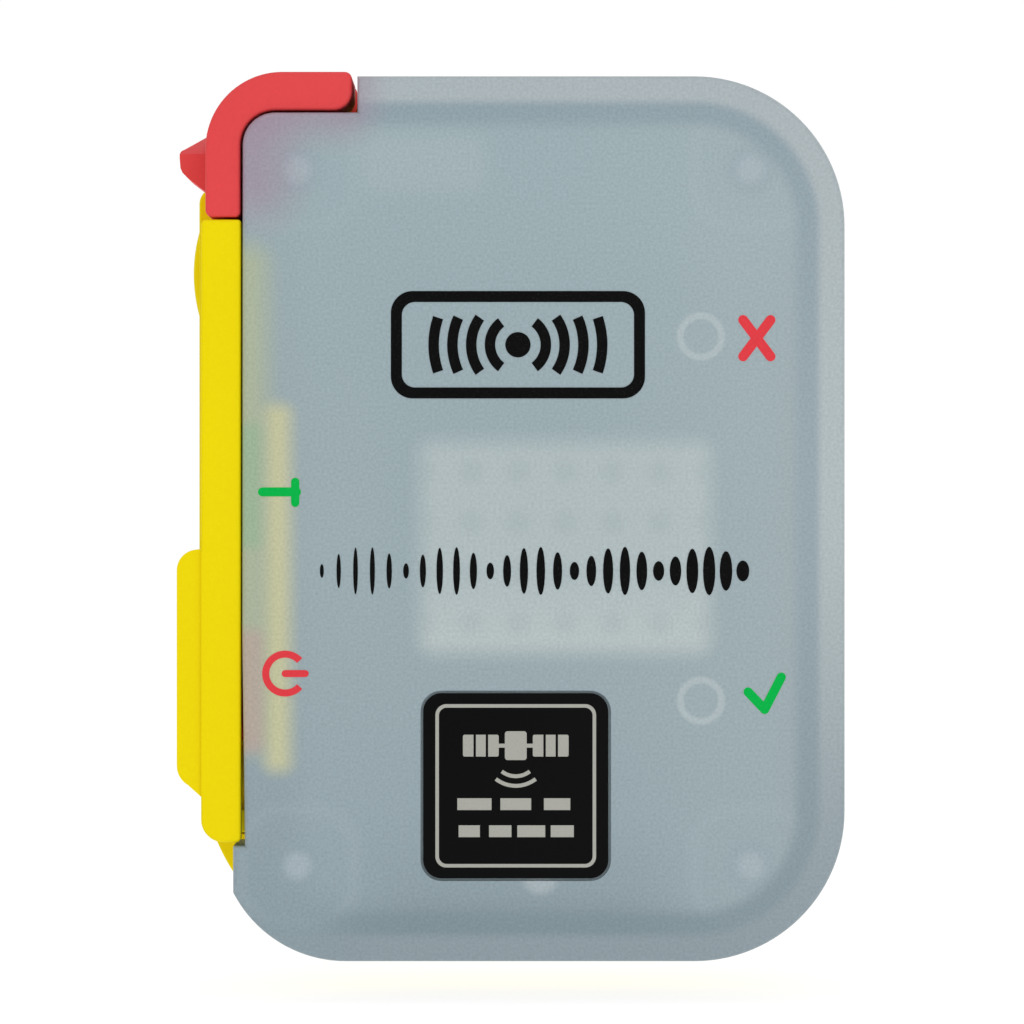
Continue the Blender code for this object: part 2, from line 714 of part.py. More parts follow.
def make_latch(material, parent):
    """The corner latch, slotted at its heel for the case's lug, with a pull knob on its leg."""
    latch = plate("latch_cap", latch_outline(), LATCH_FRONT, LATCH_REAR, 0.6, 0.6, 2)
    join(latch, plate("knob", knob_outline(), KNOB_FRONT, KNOB_REAR, 0.6, 0.6, 2))
    x, z = LATCH_PIVOT_X, latch_pivot_z()
    cut(latch, box("heel_slot", (x - 2.8, LUG_FRONT - 0.4, z - 10), (FAR, LATCH_LUG_REAR + 0.4, z + 10)))
    cut(latch, rod("pin_hole", PIN_HOLE, (x, LATCH_FRONT + PIN_COVER, z), (x, FAR, z), 14))
    finish(latch, material, parent)


def make_hinge_pins(material, parent):
    """The two steel pins that the guard and the latch turn on."""
    x, z = GUARD_PIVOT_X, GUARD_PIVOT_Z
    pin = rod("guard_hinge_pin", PIN, (x, GUARD_FRONT + PIN_COVER + 0.2, z), (x, GUARD_REAR - 0.2, z), 14)
    finish(pin, material, parent)
    x, z = LATCH_PIVOT_X, latch_pivot_z()
    pin = rod("latch_hinge_pin", PIN, (x, LATCH_FRONT + PIN_COVER + 0.2, z), (x, LATCH_REAR - 0.2, z), 14)
    finish(pin, material, parent)


# ---------------------------------------------------------------- buttons

def button_outline(z):
    """A button seen from the side: a bar with well rounded ends, as (y, z)."""
    return rounded_rectangle(BUTTON_Y - BUTTON_WIDTH / 2, BUTTON_Y + BUTTON_WIDTH / 2,
                             z - BUTTON_LENGTH / 2, z + BUTTON_LENGTH / 2, 2.4, 4)


def side_plate(name, outline, left, right, round_left=0.0):
    """Extrude a side-view outline of (y, z) from left to right."""
    bm = bmesh.new()
    corners = [bm.verts.new((left * MM, y * MM, z * MM)) for y, z in outline]
    face = bm.faces.new(corners)
    made = bmesh.ops.extrude_face_region(bm, geom=[face])
    moved = [part for part in made["geom"] if isinstance(part, bmesh.types.BMVert)]
    bmesh.ops.translate(bm, vec=((right - left) * MM, 0, 0), verts=moved)
    bmesh.ops.recalc_face_normals(bm, faces=bm.faces)
    if round_left:
        rim = [edge for edge in bm.edges
               if all(abs(vert.co.x - left * MM) < 1e-7 for vert in edge.verts)]
        bmesh.ops.bevel(bm, geom=rim, offset=round_left * MM, segments=2, profile=0.5,
                        affect="EDGES", clamp_overlap=True)
    return link_mesh(name, bm)


def make_button(name, z, top_x, travel, material, parent):
    """A hollow push button with a stem through the case wall."""
    skirt_x = WELL_FLOOR_X - travel - GAP
    button = side_plate(name + "_button", button_outline(z), top_x, skirt_x, 0.7)
    half_width = BUTTON_WIDTH / 2 - BUTTON_WALL
    half_length = BUTTON_LENGTH / 2 - BUTTON_WALL
    roof = top_x + BUTTON_WALL + 0.3
    cut(button, box("button_hollow", (roof, BUTTON_Y - half_width, z - half_length),
                    (FAR, BUTTON_Y + half_width, z + half_length)))
    join(button, rod("stem", STEM, (top_x + 0.8, BUTTON_Y, z), (STEM_END_X, BUTTON_Y, z), 14))
    finish(button, material, parent)


def make_spring(name, z, top_x, material, parent):
    """The coil spring between a button's roof and the floor of its well."""
    start = top_x + BUTTON_WALL + 0.3 + GAP + SPRING_WIRE
    end = WELL_FLOOR_X - GAP - SPRING_WIRE
    curve = bpy.data.curves.new(name, "CURVE")
    curve.dimensions = "3D"
    curve.bevel_depth = SPRING_WIRE * MM
    curve.bevel_resolution = 0
    curve.use_fill_caps = True
    steps = SPRING_TURNS * 10
    spline = curve.splines.new("POLY")
    spline.points.add(steps)
    for step in range(steps + 1):
        share = step / steps
        angle = 2 * math.pi * SPRING_TURNS * share
        spline.points[step].co = ((start + (end - start) * share) * MM,
                                  (BUTTON_Y + SPRING_COIL * math.cos(angle)) * MM,
                                  (z + SPRING_COIL * math.sin(angle)) * MM, 1.0)
    spring = bpy.data.objects.new(name, curve)
    bpy.context.collection.objects.link(spring)
    curve.materials.append(material)
    spring.parent = parent
    spring.matrix_parent_inverse = parent.matrix_world.inverted()


def make_button_fittings(name, z, travel, rubber, steel, black, case_parent, button_parent):
    """The seal and the clip on a stem, and the switch that it presses."""
    wall = LEFT_FACE + CHAMBER_INSET
    seal_end = wall + GAP + SEAL_THICK
    seal = ring(name + "_seal", STEM + 0.2, SEAL_OUTER, (wall + GAP, BUTTON_Y, z),
                (seal_end, BUTTON_Y, z), 14)
    finish(seal, rubber, case_parent)
    clip_start = seal_end + GAP
    clip = ring(name + "_clip", STEM + 0.02, CLIP_OUTER, (clip_start, BUTTON_Y, z),
                (clip_start + CLIP_THICK, BUTTON_Y, z), 14)
    finish(clip, steel, button_parent)
    face = STEM_END_X + travel + GAP
    switch = box(name + "_switch", (face + 0.8, BOARD_FRONT + BOARD_THICK + GAP, z - 3.0),
                 (face + 4.8, BUTTON_Y + 2.5, z + 3.0))
    join(switch, rod("plunger", 0.9, (face, BUTTON_Y, z), (face + 1.5, BUTTON_Y, z), 12))
    finish(switch, black, case_parent)


# ---------------------------------------------------------------- inside

def make_circuit_board(material, parent):
    """The circuit board, cut to the chamber's outline."""
    board = plate("circuit_board", seal_outline(-BOARD_MARGIN), BOARD_FRONT, BOARD_FRONT + BOARD_THICK)
    for x, z in (POST_A, POST_B):
        cut(board, rod("board_hole", 1.3, (x, -FAR, z), (x, FAR, z), 12))
    finish(board, material, parent)


def make_board_screws(material, parent):
    """Two small screws that hold the board on its posts."""
    front = BOARD_FRONT - GAP
    for number, (x, z) in enumerate((POST_A, POST_B), start=1):
        profile = [(0, 0), (BOARD_SCREW_HEAD, 0), (BOARD_SCREW_HEAD, BOARD_SCREW_HEAD_HEIGHT),
                   (BOARD_SCREW_SHANK, BOARD_SCREW_HEAD_HEIGHT), (BOARD_SCREW_SHANK, BOARD_SCREW_LENGTH),
                   (0, BOARD_SCREW_LENGTH)]
        screw = turned("board_screw_%d" % number, profile, 14)
        aim(screw, (x, front - BOARD_SCREW_HEAD_HEIGHT, z), (x, FAR, z))
        finish(screw, material, parent)


def make_shield_can(material, parent):
    """The perforated metal can over the radio."""
    back = BOARD_FRONT - GAP
    can = plate("rf_shield_can", centred_rectangle(CAN_X, CAN_Z, CAN_WIDTH, CAN_HEIGHT, 1.0, 2),
                CAN_FRONT, back, 0.3, 0.0, 1)
    inside = centred_rectangle(CAN_X, CAN_Z, CAN_WIDTH - 2 * CAN_WALL, CAN_HEIGHT - 2 * CAN_WALL, 0.6, 2)
    cut(can, plate("can_inside", inside, CAN_FRONT + CAN_WALL, FAR))
    for row in range(CAN_ROWS):
        for column in range(CAN_COLUMNS):
            x = CAN_X + (column - (CAN_COLUMNS - 1) / 2) * CAN_PITCH_X
            z = CAN_Z + (row - (CAN_ROWS - 1) / 2) * CAN_PITCH_Z
            cut(can, rod("can_hole", CAN_HOLE, (x, CAN_FRONT - 1, z), (x, CAN_FRONT + 1, z), 8))
    finish(can, material, parent)


def make_indicator(name, z, tube_material, led_material, parent):
    """A light tube behind the cover, with its indicator lamp at the board end."""
    back = BOARD_FRONT - GAP
    tube = ring(name + "_light_tube", LIGHT_INNER, LIGHT_OUTER, (LIGHT_X, LIGHT_FRONT, z),
                (LIGHT_X, back, z), 24)
    finish(tube, tube_material, parent)
    profile = [(0, 0), (LED, 0), (LED, 1.4), (0.86 * LED, 2.1), (0.5 * LED, 2.7), (0, 2.9)]
    led = turned(name + "_led", profile, 14)
    aim(led, (LIGHT_X, back, z), (LIGHT_X, -FAR, z))
    finish(led, led_material, parent)


def make_strobe(housing_material, led_material, parent):
    """The locating strobe: a reflector block and its lamp."""
    back = BOARD_FRONT - GAP
    front = back - STROBE_DEPTH
    x, z = (STROBE_LEFT + STROBE_RIGHT) / 2, (STROBE_BOTTOM + STROBE_TOP) / 2
    outline = rounded_rectangle(STROBE_LEFT, STROBE_RIGHT, STROBE_BOTTOM, STROBE_TOP, 0.8, 2)
    block = plate("strobe_reflector", outline, front, back, 0.3, 0.0, 1)
    dish_floor = front + STROBE_DISH_DEPTH
    cut(block, rod("reflector_dish", STROBE_DISH, (x, front - 1.0, z), (x, dish_floor, z), 14))
    finish(block, housing_material, parent)
    profile = [(0, 0), (STROBE_LED, 0), (STROBE_LED, 0.8), (0.7 * STROBE_LED, 1.6), (0, 1.9)]
    led = turned("strobe_led", profile, 14)
    aim(led, (x, dish_floor - GAP, z), (x, -FAR, z))
    finish(led, led_material, parent)


def make_pressure_vent(material, parent):
    """A small ribbed vent plug near the lower edge."""
    back = BOARD_FRONT - GAP
    vent = rod("pressure_vent", VENT_CORE, (VENT_X, back, VENT_Z), (VENT_X, VENT_FRONT, VENT_Z), 12)
    for number in range(VENT_RIBS):
        angle = 2 * math.pi * number / VENT_RIBS
        rib = box("rib", (0.0, VENT_FRONT + 0.4, -VENT_RIB_HALF), (VENT_REACH, back - 0.2, VENT_RIB_HALF))
        rib.location = (VENT_X * MM, 0, VENT_Z * MM)
        rib.rotation_euler = (0, -angle, 0)
        join(vent, rib)
    finish(vent, material, parent)


def make_batteries(cell_material, cradle_material, contact_material, parent):
    """Two cells side by side in a cradle, with a contact strip at each end."""
    half = CELL_LENGTH / 2
    shoulder = half - CELL_SHOULDER
    profile = [(0, -half), (CELL_RADIUS - CELL_EDGE, -half), (CELL_RADIUS, -half + CELL_EDGE),
               (CELL_RADIUS, shoulder - CELL_EDGE), (CELL_RADIUS - CELL_EDGE, shoulder),
               (CELL_CAP, shoulder), (CELL_CAP, half), (0, half)]
    for number, side in enumerate((-1, 1), start=1):
        cell = turned("battery_cell_%d" % number, profile, 24)
        cell.location = ((CELLS_X + side * CELL_SPACING / 2) * MM, CELL_Y * MM, CELLS_Z * MM)
        finish(cell, cell_material, parent)
    reach = CELL_SPACING / 2 + CELL_RADIUS + CRADLE_SIDE
    left, right = CELLS_X - reach, CELLS_X + reach
    bottom = CELLS_Z - half - CRADLE_END
    top = CELLS_Z + half + CRADLE_END
    rear = BACK - CASE_FLOOR_WALL - GAP
    cradle = box("battery_cradle", (left, CELL_Y, bottom), (right, rear, top))
    for side in (-1, 1):
        x = CELLS_X + side * CELL_SPACING / 2
        cut(cradle, rod("trough", CELL_RADIUS + GAP, (x, CELL_Y, bottom + TROUGH_WALL),
                          (x, CELL_Y, top - TROUGH_WALL), 24))
    finish(cradle, cradle_material, parent)
    clear = GAP + 0.1
    for name, z in (("lower", CELLS_Z - half - clear - CONTACT_THICK), ("upper", CELLS_Z + half + clear)):
        strip = box("battery_contact_" + name, (left + CONTACT_SHORT, CELL_Y - CONTACT_REACH, z),
                    (right - CONTACT_SHORT, CELL_Y - GAP, z + CONTACT_THICK))
        finish(strip, contact_material, parent)
    plug = box("battery_plug", (PLUG_LEFT, BOARD_FRONT + BOARD_THICK + GAP, PLUG_BOTTOM),
               (PLUG_RIGHT, PLUG_REAR, PLUG_TOP))
    finish(plug, cradle_material, parent)


def make_switch_rail(material, parent):
    """The rail inside the cover that backs the wall behind the buttons."""
    left = LEFT_FACE + COVER_WALL + GAP
    outline = rounded_rectangle(left, SWITCH_RAIL_RIGHT, SWITCH_RAIL_BOTTOM, SWITCH_RAIL_TOP, 0.6, 2)
    rail = plate("switch_rail", outline, SWITCH_RAIL_FRONT, COVER_REAR - COVER_RIM - GAP)
    finish(rail, material, parent)


# ---------------------------------------------------------------- tape aerial

def tape_corners():
    """The tape's bend points in order: round the lower right corner, then the upper right one."""
    centre_x = COVER_RIGHT - CORNER
    half_turn = 90 / LINKS_PER_CORNER / 2
    reach = (CORNER - TAPE_INSET) / math.cos(math.radians(half_turn))
    points = []
    for centre_z, first in ((CORNER, -90), (COVER_TOP - CORNER, 0)):
        for number in range(LINKS_PER_CORNER):
            angle = math.radians(first + half_turn * (2 * number + 1))
            points.append((centre_x + reach * math.cos(angle), centre_z + reach * math.sin(angle)))
    return points


def tape_strip(name, start, end, trim_start, trim_end):
    """A straight length of tape between two points of the front view."""
    run = math.dist(start, end)
    along = ((end[0] - start[0]) / run, (end[1] - start[1]) / run)
    across = (-along[1], along[0])
    half = TAPE_THICK / 2
    outline = []
    stop = run - trim_end
    for distance, side in ((trim_start, -half), (stop, -half), (stop, half), (trim_start, half)):
        outline.append((start[0] + along[0] * distance + across[0] * side,
                        start[1] + along[1] * distance + across[1] * side))
    middle = (COVER_REAR + CHANNEL_REAR) / 2
    return plate(name, outline, middle - TAPE_WIDTH / 2, middle + TAPE_WIDTH / 2)


def make_aerial(tape_material, block_material, case_parent):
    """The tape: one fixed run, then links that unroll one after another from the case."""
    bends = tape_corners()
    line = COVER_TOP - TAPE_INSET
    names = ["aerial_run_bottom"]
    names += ["aerial_link_%d" % number for number in range(1, LINKS_PER_CORNER)]
    names += ["aerial_run_side"]
    names += ["aerial_link_%d" % number for number in range(LINKS_PER_CORNER, 2 * LINKS_PER_CORNER - 1)]
    names += ["aerial_run_top"]
    ends = [(TAPE_START_X, TAPE_INSET)] + bends + [(TAPE_TIP_X + TIP_LENGTH + GAP, line)]
    parent = case_parent
    for number, name in enumerate(names):
        if number:
            parent = pivot("aerial_bend_%d" % number, ends[number][0], 0.0, ends[number][1], parent)
        trim_start = LINK_GAP / 2 if number else 0.0
        trim_end = LINK_GAP / 2 if number < len(names) - 1 else 0.0
        strip = tape_strip(name, ends[number], ends[number + 1], trim_start, trim_end)
        finish(strip, tape_material, parent)
    middle = (COVER_REAR + CHANNEL_REAR) / 2
    half = TAPE_WIDTH / 2
    tip = plate("aerial_tip", rounded_rectangle(TAPE_TIP_X, TAPE_TIP_X + TIP_LENGTH, line - TIP_THICK / 2,
                                                line + TIP_THICK / 2, 0.5, 3), middle - half, middle + half)
    finish(tip, block_material, parent)
    root = plate("aerial_root_block",
                 rounded_rectangle(TAPE_START_X - GAP - 7.0, TAPE_START_X - GAP, TAPE_INSET - 1.1,
                                   CHANNEL_DEPTH - GAP, 0.4, 2), middle - half, middle + half)
    finish(root, block_material, case_parent)


# ---------------------------------------------------------------- whole beacon

def main():
    clear_scene()
    yellow = make_material("yellow_plastic", (0.85, 0.68, 0.003), 0.42)
    frosted = make_material("frosted_plastic", (0.36, 0.44, 0.47), 0.5, transmission=0.5)
    red = make_material("red_plastic", (0.75, 0.08, 0.075), 0.45)
    green = make_material("green_plastic", (0.02, 0.45, 0.08), 0.45)
    black = make_material("black_plastic", (0.012, 0.012, 0.012), 0.5)
    rubber = make_material("black_rubber", (0.015, 0.015, 0.016), 0.8)
    steel = make_material("steel", (0.6, 0.6, 0.6), 0.3, 1.0)
    spring_steel = make_material("coated_spring_steel", (0.03, 0.03, 0.03), 0.45, 0.3)
    board = make_material("board_green", (0.05, 0.2, 0.1), 0.5)
    can = make_material("tinned_steel", (0.8, 0.82, 0.82), 0.35, 0.8)
    ceramic = make_material("beige_ceramic", (0.62, 0.52, 0.36), 0.5)
    pale_yellow = make_material("pale_yellow_plastic", (0.75, 0.72, 0.35), 0.5)
    clear = make_material("clear_plastic", (0.9, 0.9, 0.9), 0.15, transmission=0.6)
    lamp = make_material("lamp_lens", (0.85, 0.87, 0.8), 0.2)
    label = make_material("label_black", (0.01, 0.01, 0.01), 0.35)
    sleeve = make_material("cell_sleeve", (0.06, 0.09, 0.16), 0.35)

    case_frame = pivot("case_frame")
    guard_pivot = pivot("guard_pivot", GUARD_PIVOT_X, 0.0, GUARD_PIVOT_Z, case_frame)
    latch_pivot = pivot("latch_pivot", LATCH_PIVOT_X, 0.0, latch_pivot_z(), case_frame)

    make_rear_case(yellow, case_frame)
    make_front_cover(frosted, case_frame)
    make_gasket(rubber, case_frame)
    make_case_screws(steel, case_frame)
    make_label("front_label", LABEL_X, LABEL_Z, LABEL_SIDE, LABEL_SIDE, LABEL_CORNER,
               FRONT + 0.02, FRONT + 0.02 + LABEL_THICK, label, case_frame)
    make_label("rear_label", REAR_LABEL_X, REAR_LABEL_Z, REAR_LABEL_WIDTH, REAR_LABEL_HEIGHT, 2.7,
               BACK - 0.02 - LABEL_THICK, BACK - 0.02, label, case_frame)
    make_guard(yellow, guard_pivot)
    make_latch(red, latch_pivot)
    make_hinge_pins(steel, case_frame)
    for (name, z, top_x, travel), colour in zip(button_places(), (green, red)):
        slide = pivot(name + "_slide", top_x, BUTTON_Y, z, case_frame)
        make_button(name, z, top_x, travel, colour, slide)
        make_spring(name + "_spring", z, top_x, steel, case_frame)
        make_button_fittings(name, z, travel, rubber, steel, black, case_frame, slide)
    make_circuit_board(board, case_frame)
    make_board_screws(steel, case_frame)
    make_shield_can(can, case_frame)
    make_indicator("fail", FAIL_Z, clear, lamp, case_frame)
    make_indicator("pass", PASS_Z, clear, lamp, case_frame)
    make_strobe(ceramic, lamp, case_frame)
    antenna = plate("gps_antenna", centred_rectangle(LABEL_X, ANTENNA_Z, ANTENNA_SIDE, ANTENNA_SIDE, 0.5, 1),
                    ANTENNA_FRONT, BOARD_FRONT - GAP)
    finish(antenna, ceramic, case_frame)
    make_pressure_vent(black, case_frame)
    make_batteries(sleeve, black, steel, case_frame)
    make_switch_rail(pale_yellow, case_frame)
    make_aerial(spring_steel, black, case_frame)


main()
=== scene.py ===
"""Looks for a pocket distress beacon: frosted front cover, yellow rear case and side guard,
red corner latch, two push buttons and a spring-tape aerial laid round the edge."""
import json
import math

import bmesh
import bpy
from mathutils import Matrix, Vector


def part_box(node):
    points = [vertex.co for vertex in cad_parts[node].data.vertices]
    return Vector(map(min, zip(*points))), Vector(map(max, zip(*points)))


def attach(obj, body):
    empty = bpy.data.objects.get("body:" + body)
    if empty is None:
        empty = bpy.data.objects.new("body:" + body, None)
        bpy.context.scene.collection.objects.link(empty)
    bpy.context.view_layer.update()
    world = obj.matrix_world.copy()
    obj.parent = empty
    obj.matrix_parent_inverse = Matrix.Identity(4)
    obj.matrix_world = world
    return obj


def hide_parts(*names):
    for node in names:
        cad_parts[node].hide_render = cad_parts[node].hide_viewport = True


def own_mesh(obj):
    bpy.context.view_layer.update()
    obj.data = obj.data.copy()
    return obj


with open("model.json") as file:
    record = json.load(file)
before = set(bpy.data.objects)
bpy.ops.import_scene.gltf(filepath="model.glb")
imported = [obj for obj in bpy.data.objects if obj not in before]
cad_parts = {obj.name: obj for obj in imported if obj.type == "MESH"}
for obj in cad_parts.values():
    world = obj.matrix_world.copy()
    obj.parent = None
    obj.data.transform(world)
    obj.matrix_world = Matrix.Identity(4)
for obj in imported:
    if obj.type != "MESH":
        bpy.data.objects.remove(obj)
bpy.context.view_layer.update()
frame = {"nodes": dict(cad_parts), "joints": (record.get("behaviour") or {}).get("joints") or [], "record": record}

bl_info = {
    "name": "Pocket Beacon Looks",
    "version": (1, 0, 0),
    "blender": (4, 5, 0),
    "location": "View3D > Sidebar > Beacon",
    "description": "Builds the finished pieces, materials and stage of a pocket distress beacon",
    "category": "Object",
}

MM = 0.001
FAR = 60.0
GAP = 0.3


def box_mm(node):
    """A node's lowest and highest corner at rest, in millimetres."""
    low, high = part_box(node)
    return [value / MM for value in low], [value / MM for value in high]


COVER_LOW, COVER_HIGH = box_mm("front_cover")
CASE_LOW, CASE_HIGH = box_mm("rear_case")
GUARD_LOW, GUARD_HIGH = box_mm("side_guard")
LATCH_LOW, LATCH_HIGH = box_mm("latch_cap")
LABEL_LOW, LABEL_HIGH = box_mm("front_label")
REAR_LABEL_LOW, REAR_LABEL_HIGH = box_mm("rear_label")
GUARD_PIN_LOW, GUARD_PIN_HIGH = box_mm("guard_hinge_pin")
LATCH_PIN_LOW, LATCH_PIN_HIGH = box_mm("latch_hinge_pin")

FRONT = COVER_LOW[1]
COVER_REAR = COVER_HIGH[1]
RIGHT = COVER_HIGH[0]
TOP = COVER_HIGH[2]
BACK = CASE_HIGH[1]
STEP_X = COVER_LOW[0]
LEFT_FACE = STEP_X + 1.05
STEP_TOP = 13.2
RELIEF_X = LEFT_FACE + 0.3
RELIEF_TOP = 37.0
CASE_LEFT = -33.2
LOW_LEFT_RADIUS = 14.5
LOW_LEFT_CENTRE = -18.9
CASE_FRONT = CASE_LOW[1]
CHANNEL_REAR = -2.6
CHANNEL_DEPTH = 3.0
BAY_FLOOR = -28.3
BAY_REAR = 5.2
BAY_BOTTOM = 13.3
WELL_FLOOR = -27.1
RAIL_X = -37.5
RAIL_BOTTOM = 3.0
RAIL_SWEEP = 25.85
RAIL_SWEEP_Z = 22.06
RAIL_INNER = -20.0
RAIL_TOP = TOP - 10.85
CHAMBER_INSET = 6.0
POST_REACH = 7.0
POST_REACH_LATCH = 9.8
POST_ROUND = 5.5
SCREW_HOLE = 1.45
STEM_HOLE = 1.5
BOARD_POST = 2.2
POST_HOLE = 0.95
COVER_FACE_WALL = 2.2
COVER_RIM = 2.0
MOUTH_DEPTH = 3.2
CASE_FLOOR = 2.2
SEAL_INNER, SEAL_OUTER, SEAL_DEPTH = 0.6, 2.4, 1.3
RAIL_DEPTH = 8.0
LABEL_SINK = 0.55
SCREW_WELL = 2.7
LUG_SPAN = (-7.5, 2.3)
LATCH_LUG_SPAN = (-7.5, -2.9)
THUMB_LOW = TOP - 26.55
THUMB_HIGH = TOP - 15.95

LATCH_LEFT = -35.0
LATCH_PIVOT = ((LATCH_PIN_LOW[0] + LATCH_PIN_HIGH[0]) / 2, (LATCH_PIN_LOW[2] + LATCH_PIN_HIGH[2]) / 2)
LATCH_HEEL = LATCH_HIGH[2] - LATCH_PIVOT[1]
LATCH_CORNER = 8.8
LATCH_INNER_X = -27.0
LATCH_INNER = 4.0
KNOB_BOTTOM = 88.7
KNOB_TOP = 95.3
KNOB_FRONT = -15.0
KNOB_REAR = -2.0
LEDGE_Z = LATCH_PIVOT[1] - LATCH_HEEL - GAP
NOTCH_X = LATCH_HIGH[0] + 0.65
INNER_Z = LATCH_PIVOT[1] - LATCH_HEEL - LATCH_INNER

GUARD_LEFT = -35.5
GUARD_RIGHT = -30.92
GUARD_PIVOT = ((GUARD_PIN_LOW[0] + GUARD_PIN_HIGH[0]) / 2, (GUARD_PIN_LOW[2] + GUARD_PIN_HIGH[2]) / 2)
HUMP_LOW = 18.8
HUMP_HIGH = 47.2
GUARD_WALL = 1.4
GUARD_LEG = 1.8
PIN_HOLE = 0.72

SCREW_NODES = ("case_screw_1", "case_screw_2", "case_screw_3", "case_screw_4")


def middle(node):
    """The middle of a node's box, in millimetres."""
    low, high = box_mm(node)
    return [(a + b) / 2 for a, b in zip(low, high)]


def half(node):
    """Half the size of a node's box, in millimetres."""
    low, high = box_mm(node)
    return [(b - a) / 2 for a, b in zip(low, high)]


# ---------------------------------------------------------------- sizes and colours

def length(name, description, default):
    """A length property whose default is given in millimetres."""
    return bpy.props.FloatProperty(name=name, description=description, default=default * MM,
                                   min=0.0, precision=5, unit="LENGTH")


def colour(name, description, default):
    """A colour property whose default is given as sRGB from 0 to 255."""
    return bpy.props.FloatVectorProperty(name=name, description=description, subtype="COLOR",
                                         default=linear(default), min=0.0, max=1.0, size=3)


def linear(rgb):
    """An sRGB colour from 0 to 255 as linear light."""
    return tuple(value / 255 / 12.92 if value <= 10 else ((value / 255 + 0.055) / 1.055) ** 2.4
                 for value in rgb)


class BeaconShellSizes(bpy.types.PropertyGroup):
    """Rounding of the cover and the rear case."""
    corner: length("Corner Radius", "Radius of the three large outer corners", 17.2)
    case_corner: length("Case Corner Radius", "Radius of the rear case's corners", 16.0)
    front_round: length("Front Round", "Rounding of the cover's front rim", 1.6)
    back_round: length("Back Round", "Rounding of the rear case's back rim", 3.0)
    rim_round: length("Parting Round", "Small rounding of the rims where the shells meet", 0.35)
    cover_wall: length("Cover Wall", "Wall thickness of the frosted cover", 2.4)


class BeaconMovingSizes(bpy.types.PropertyGroup):
    """Sizes of the guard, the latch, the buttons and the aerial."""
    guard_round: length("Guard Round", "Rounding of the guard's long rims", 0.42)
    latch_round: length("Latch Round", "Rounding of the latch's rims", 0.42)
    button_round: length("Button Round", "Rounding of a button's top rim", 0.9)
    spring_wire: length("Spring Wire", "Radius of the button springs' wire", 0.2)
    tape_crown: length("Tape Crown", "How far the aerial's tape is bowed across its width", 0.22)
    tape_thickness: length("Tape Thickness", "Thickness of the aerial's tape", 0.25)


class BeaconPrintSizes(bpy.types.PropertyGroup):
    """Sizes of the printed marks."""
    ink_height: length("Ink Height", "How far a printed mark stands off the cover", 0.04)
    frame_stroke: length("Frame Stroke", "Width of the printed frame's line", 1.26)
    bars: bpy.props.IntProperty(name="Bars", description="Bars in the printed fading band", default=26, min=4)
    seed: bpy.props.IntProperty(name="Seed", description="Seed of the printed rows' lengths", default=7,
                                min=0)


class BeaconColours(bpy.types.PropertyGroup):
    """Colours of the beacon's finishes, and the painted light and shade of the frosted cover."""
    yellow: colour("Yellow", "Safety yellow of the case and the guard", (238, 216, 1))
    red: colour("Red", "Warm red of the latch and the activate button", (225, 70, 72))
    green: colour("Green", "Green of the test button", (30, 165, 85))
    # frost_high, frost_middle and frost_low are painted light: the cover's face is painted lighter towards the top
    # and darker towards the bottom, as the light from above falls on it.
    frost_high: colour("Frost, High", "Frosted cover towards the top", (149, 168, 173))
    frost_middle: colour("Frost, Middle", "Frosted cover at half height", (148, 164, 169))
    frost_low: colour("Frost, Low", "Frosted cover towards the bottom", (136, 153, 161))
    # The edge trio is the lighter solid rim, and the wall trio is the painted shadow just inside the cover's wall.
    # Both trios are painted light: lighter at the top and at half height than at the bottom.
    edge_high: colour("Edge, High", "Solid rim of the cover at the top", (174, 183, 186))
    edge_middle: colour("Edge, Middle", "Solid rim of the cover at half height", (180, 190, 191))
    edge_low: colour("Edge, Low", "Solid rim of the cover at the bottom", (140, 153, 160))
    band_high: colour("Wall, High", "Shadow of the cover's wall at the top", (135, 152, 162))
    band_middle: colour("Wall, Middle", "Shadow of the cover's wall at half height", (143, 160, 169))
    band_low: colour("Wall, Low", "Shadow of the cover's wall at the bottom", (120, 138, 146))
    ink_black: colour("Black Ink", "Black of the printed marks", (7, 7, 8))
    ink_red: colour("Red Ink", "Red of the printed marks", (222, 62, 70))
    ink_green: colour("Green Ink", "Green of the printed marks", (4, 178, 72))
    ink_grey: colour("Grey Ink", "Pale grey print on the black label", (168, 168, 160))


class BeaconStage(bpy.types.PropertyGroup):
    """The floor, the lights and the camera."""
    floor: colour("Floor", "Colour of the floor and the backdrop", (105, 105, 105))
    haze: colour("Haze", "Colour of the backdrop's own light", (252, 252, 252))
    ambient: bpy.props.FloatProperty(name="Ambient", description="Strength of the even light", default=0.64,
                                     min=0.0)
    key: bpy.props.FloatProperty(name="Key", description="Power of the soft light above", default=1.3,
                                 min=0.0, unit="POWER")
    fill: bpy.props.FloatProperty(name="Fill", description="Power of the soft light in front", default=1.0,
                                  min=0.0, unit="POWER")
    glow: bpy.props.FloatProperty(name="Glow", description="How far the backdrop lights itself", default=0.91,
                                  min=0.0)
    drop: length("Floor Drop", "How far the floor is below the beacon, so that the open guard clears it", 5.0)
    lens: bpy.props.FloatProperty(name="Lens", description="Focal length", default=150.0, min=1.0,
                                  unit="CAMERA")
    distance: length("Distance", "From the camera to the cover's face", 488.5)
    height: length("Camera Height", "Height of the camera", 51.5)


# -------------------------------------------------------- outlines (x, z), anticlockwise from the front

def arc(centre_x, centre_z, radius, start, end, steps):
    """Points on a circle from the start angle to the end angle, in degrees, both included."""
    points = []
    for step in range(steps + 1):
        angle = math.radians(start + (end - start) * step / steps)
        points.append((centre_x + radius * math.cos(angle), centre_z + radius * math.sin(angle)))
    return points


def rounded(left, right, bottom, top, radius, steps=8):
    """A rectangle with equal round corners."""
    points = arc(right - radius, bottom + radius, radius, -90, 0, steps)
    points += arc(right - radius, top - radius, radius, 0, 90, steps)
    points += arc(left + radius, top - radius, radius, 90, 180, steps)
    points += arc(left + radius, bottom + radius, radius, 180, 270, steps)
    return points


def centred(x, z, width, height, radius, steps=8):
    """A rounded rectangle given by its middle and its sides."""
    return rounded(x - width / 2, x + width / 2, z - height / 2, z + height / 2, radius, steps)


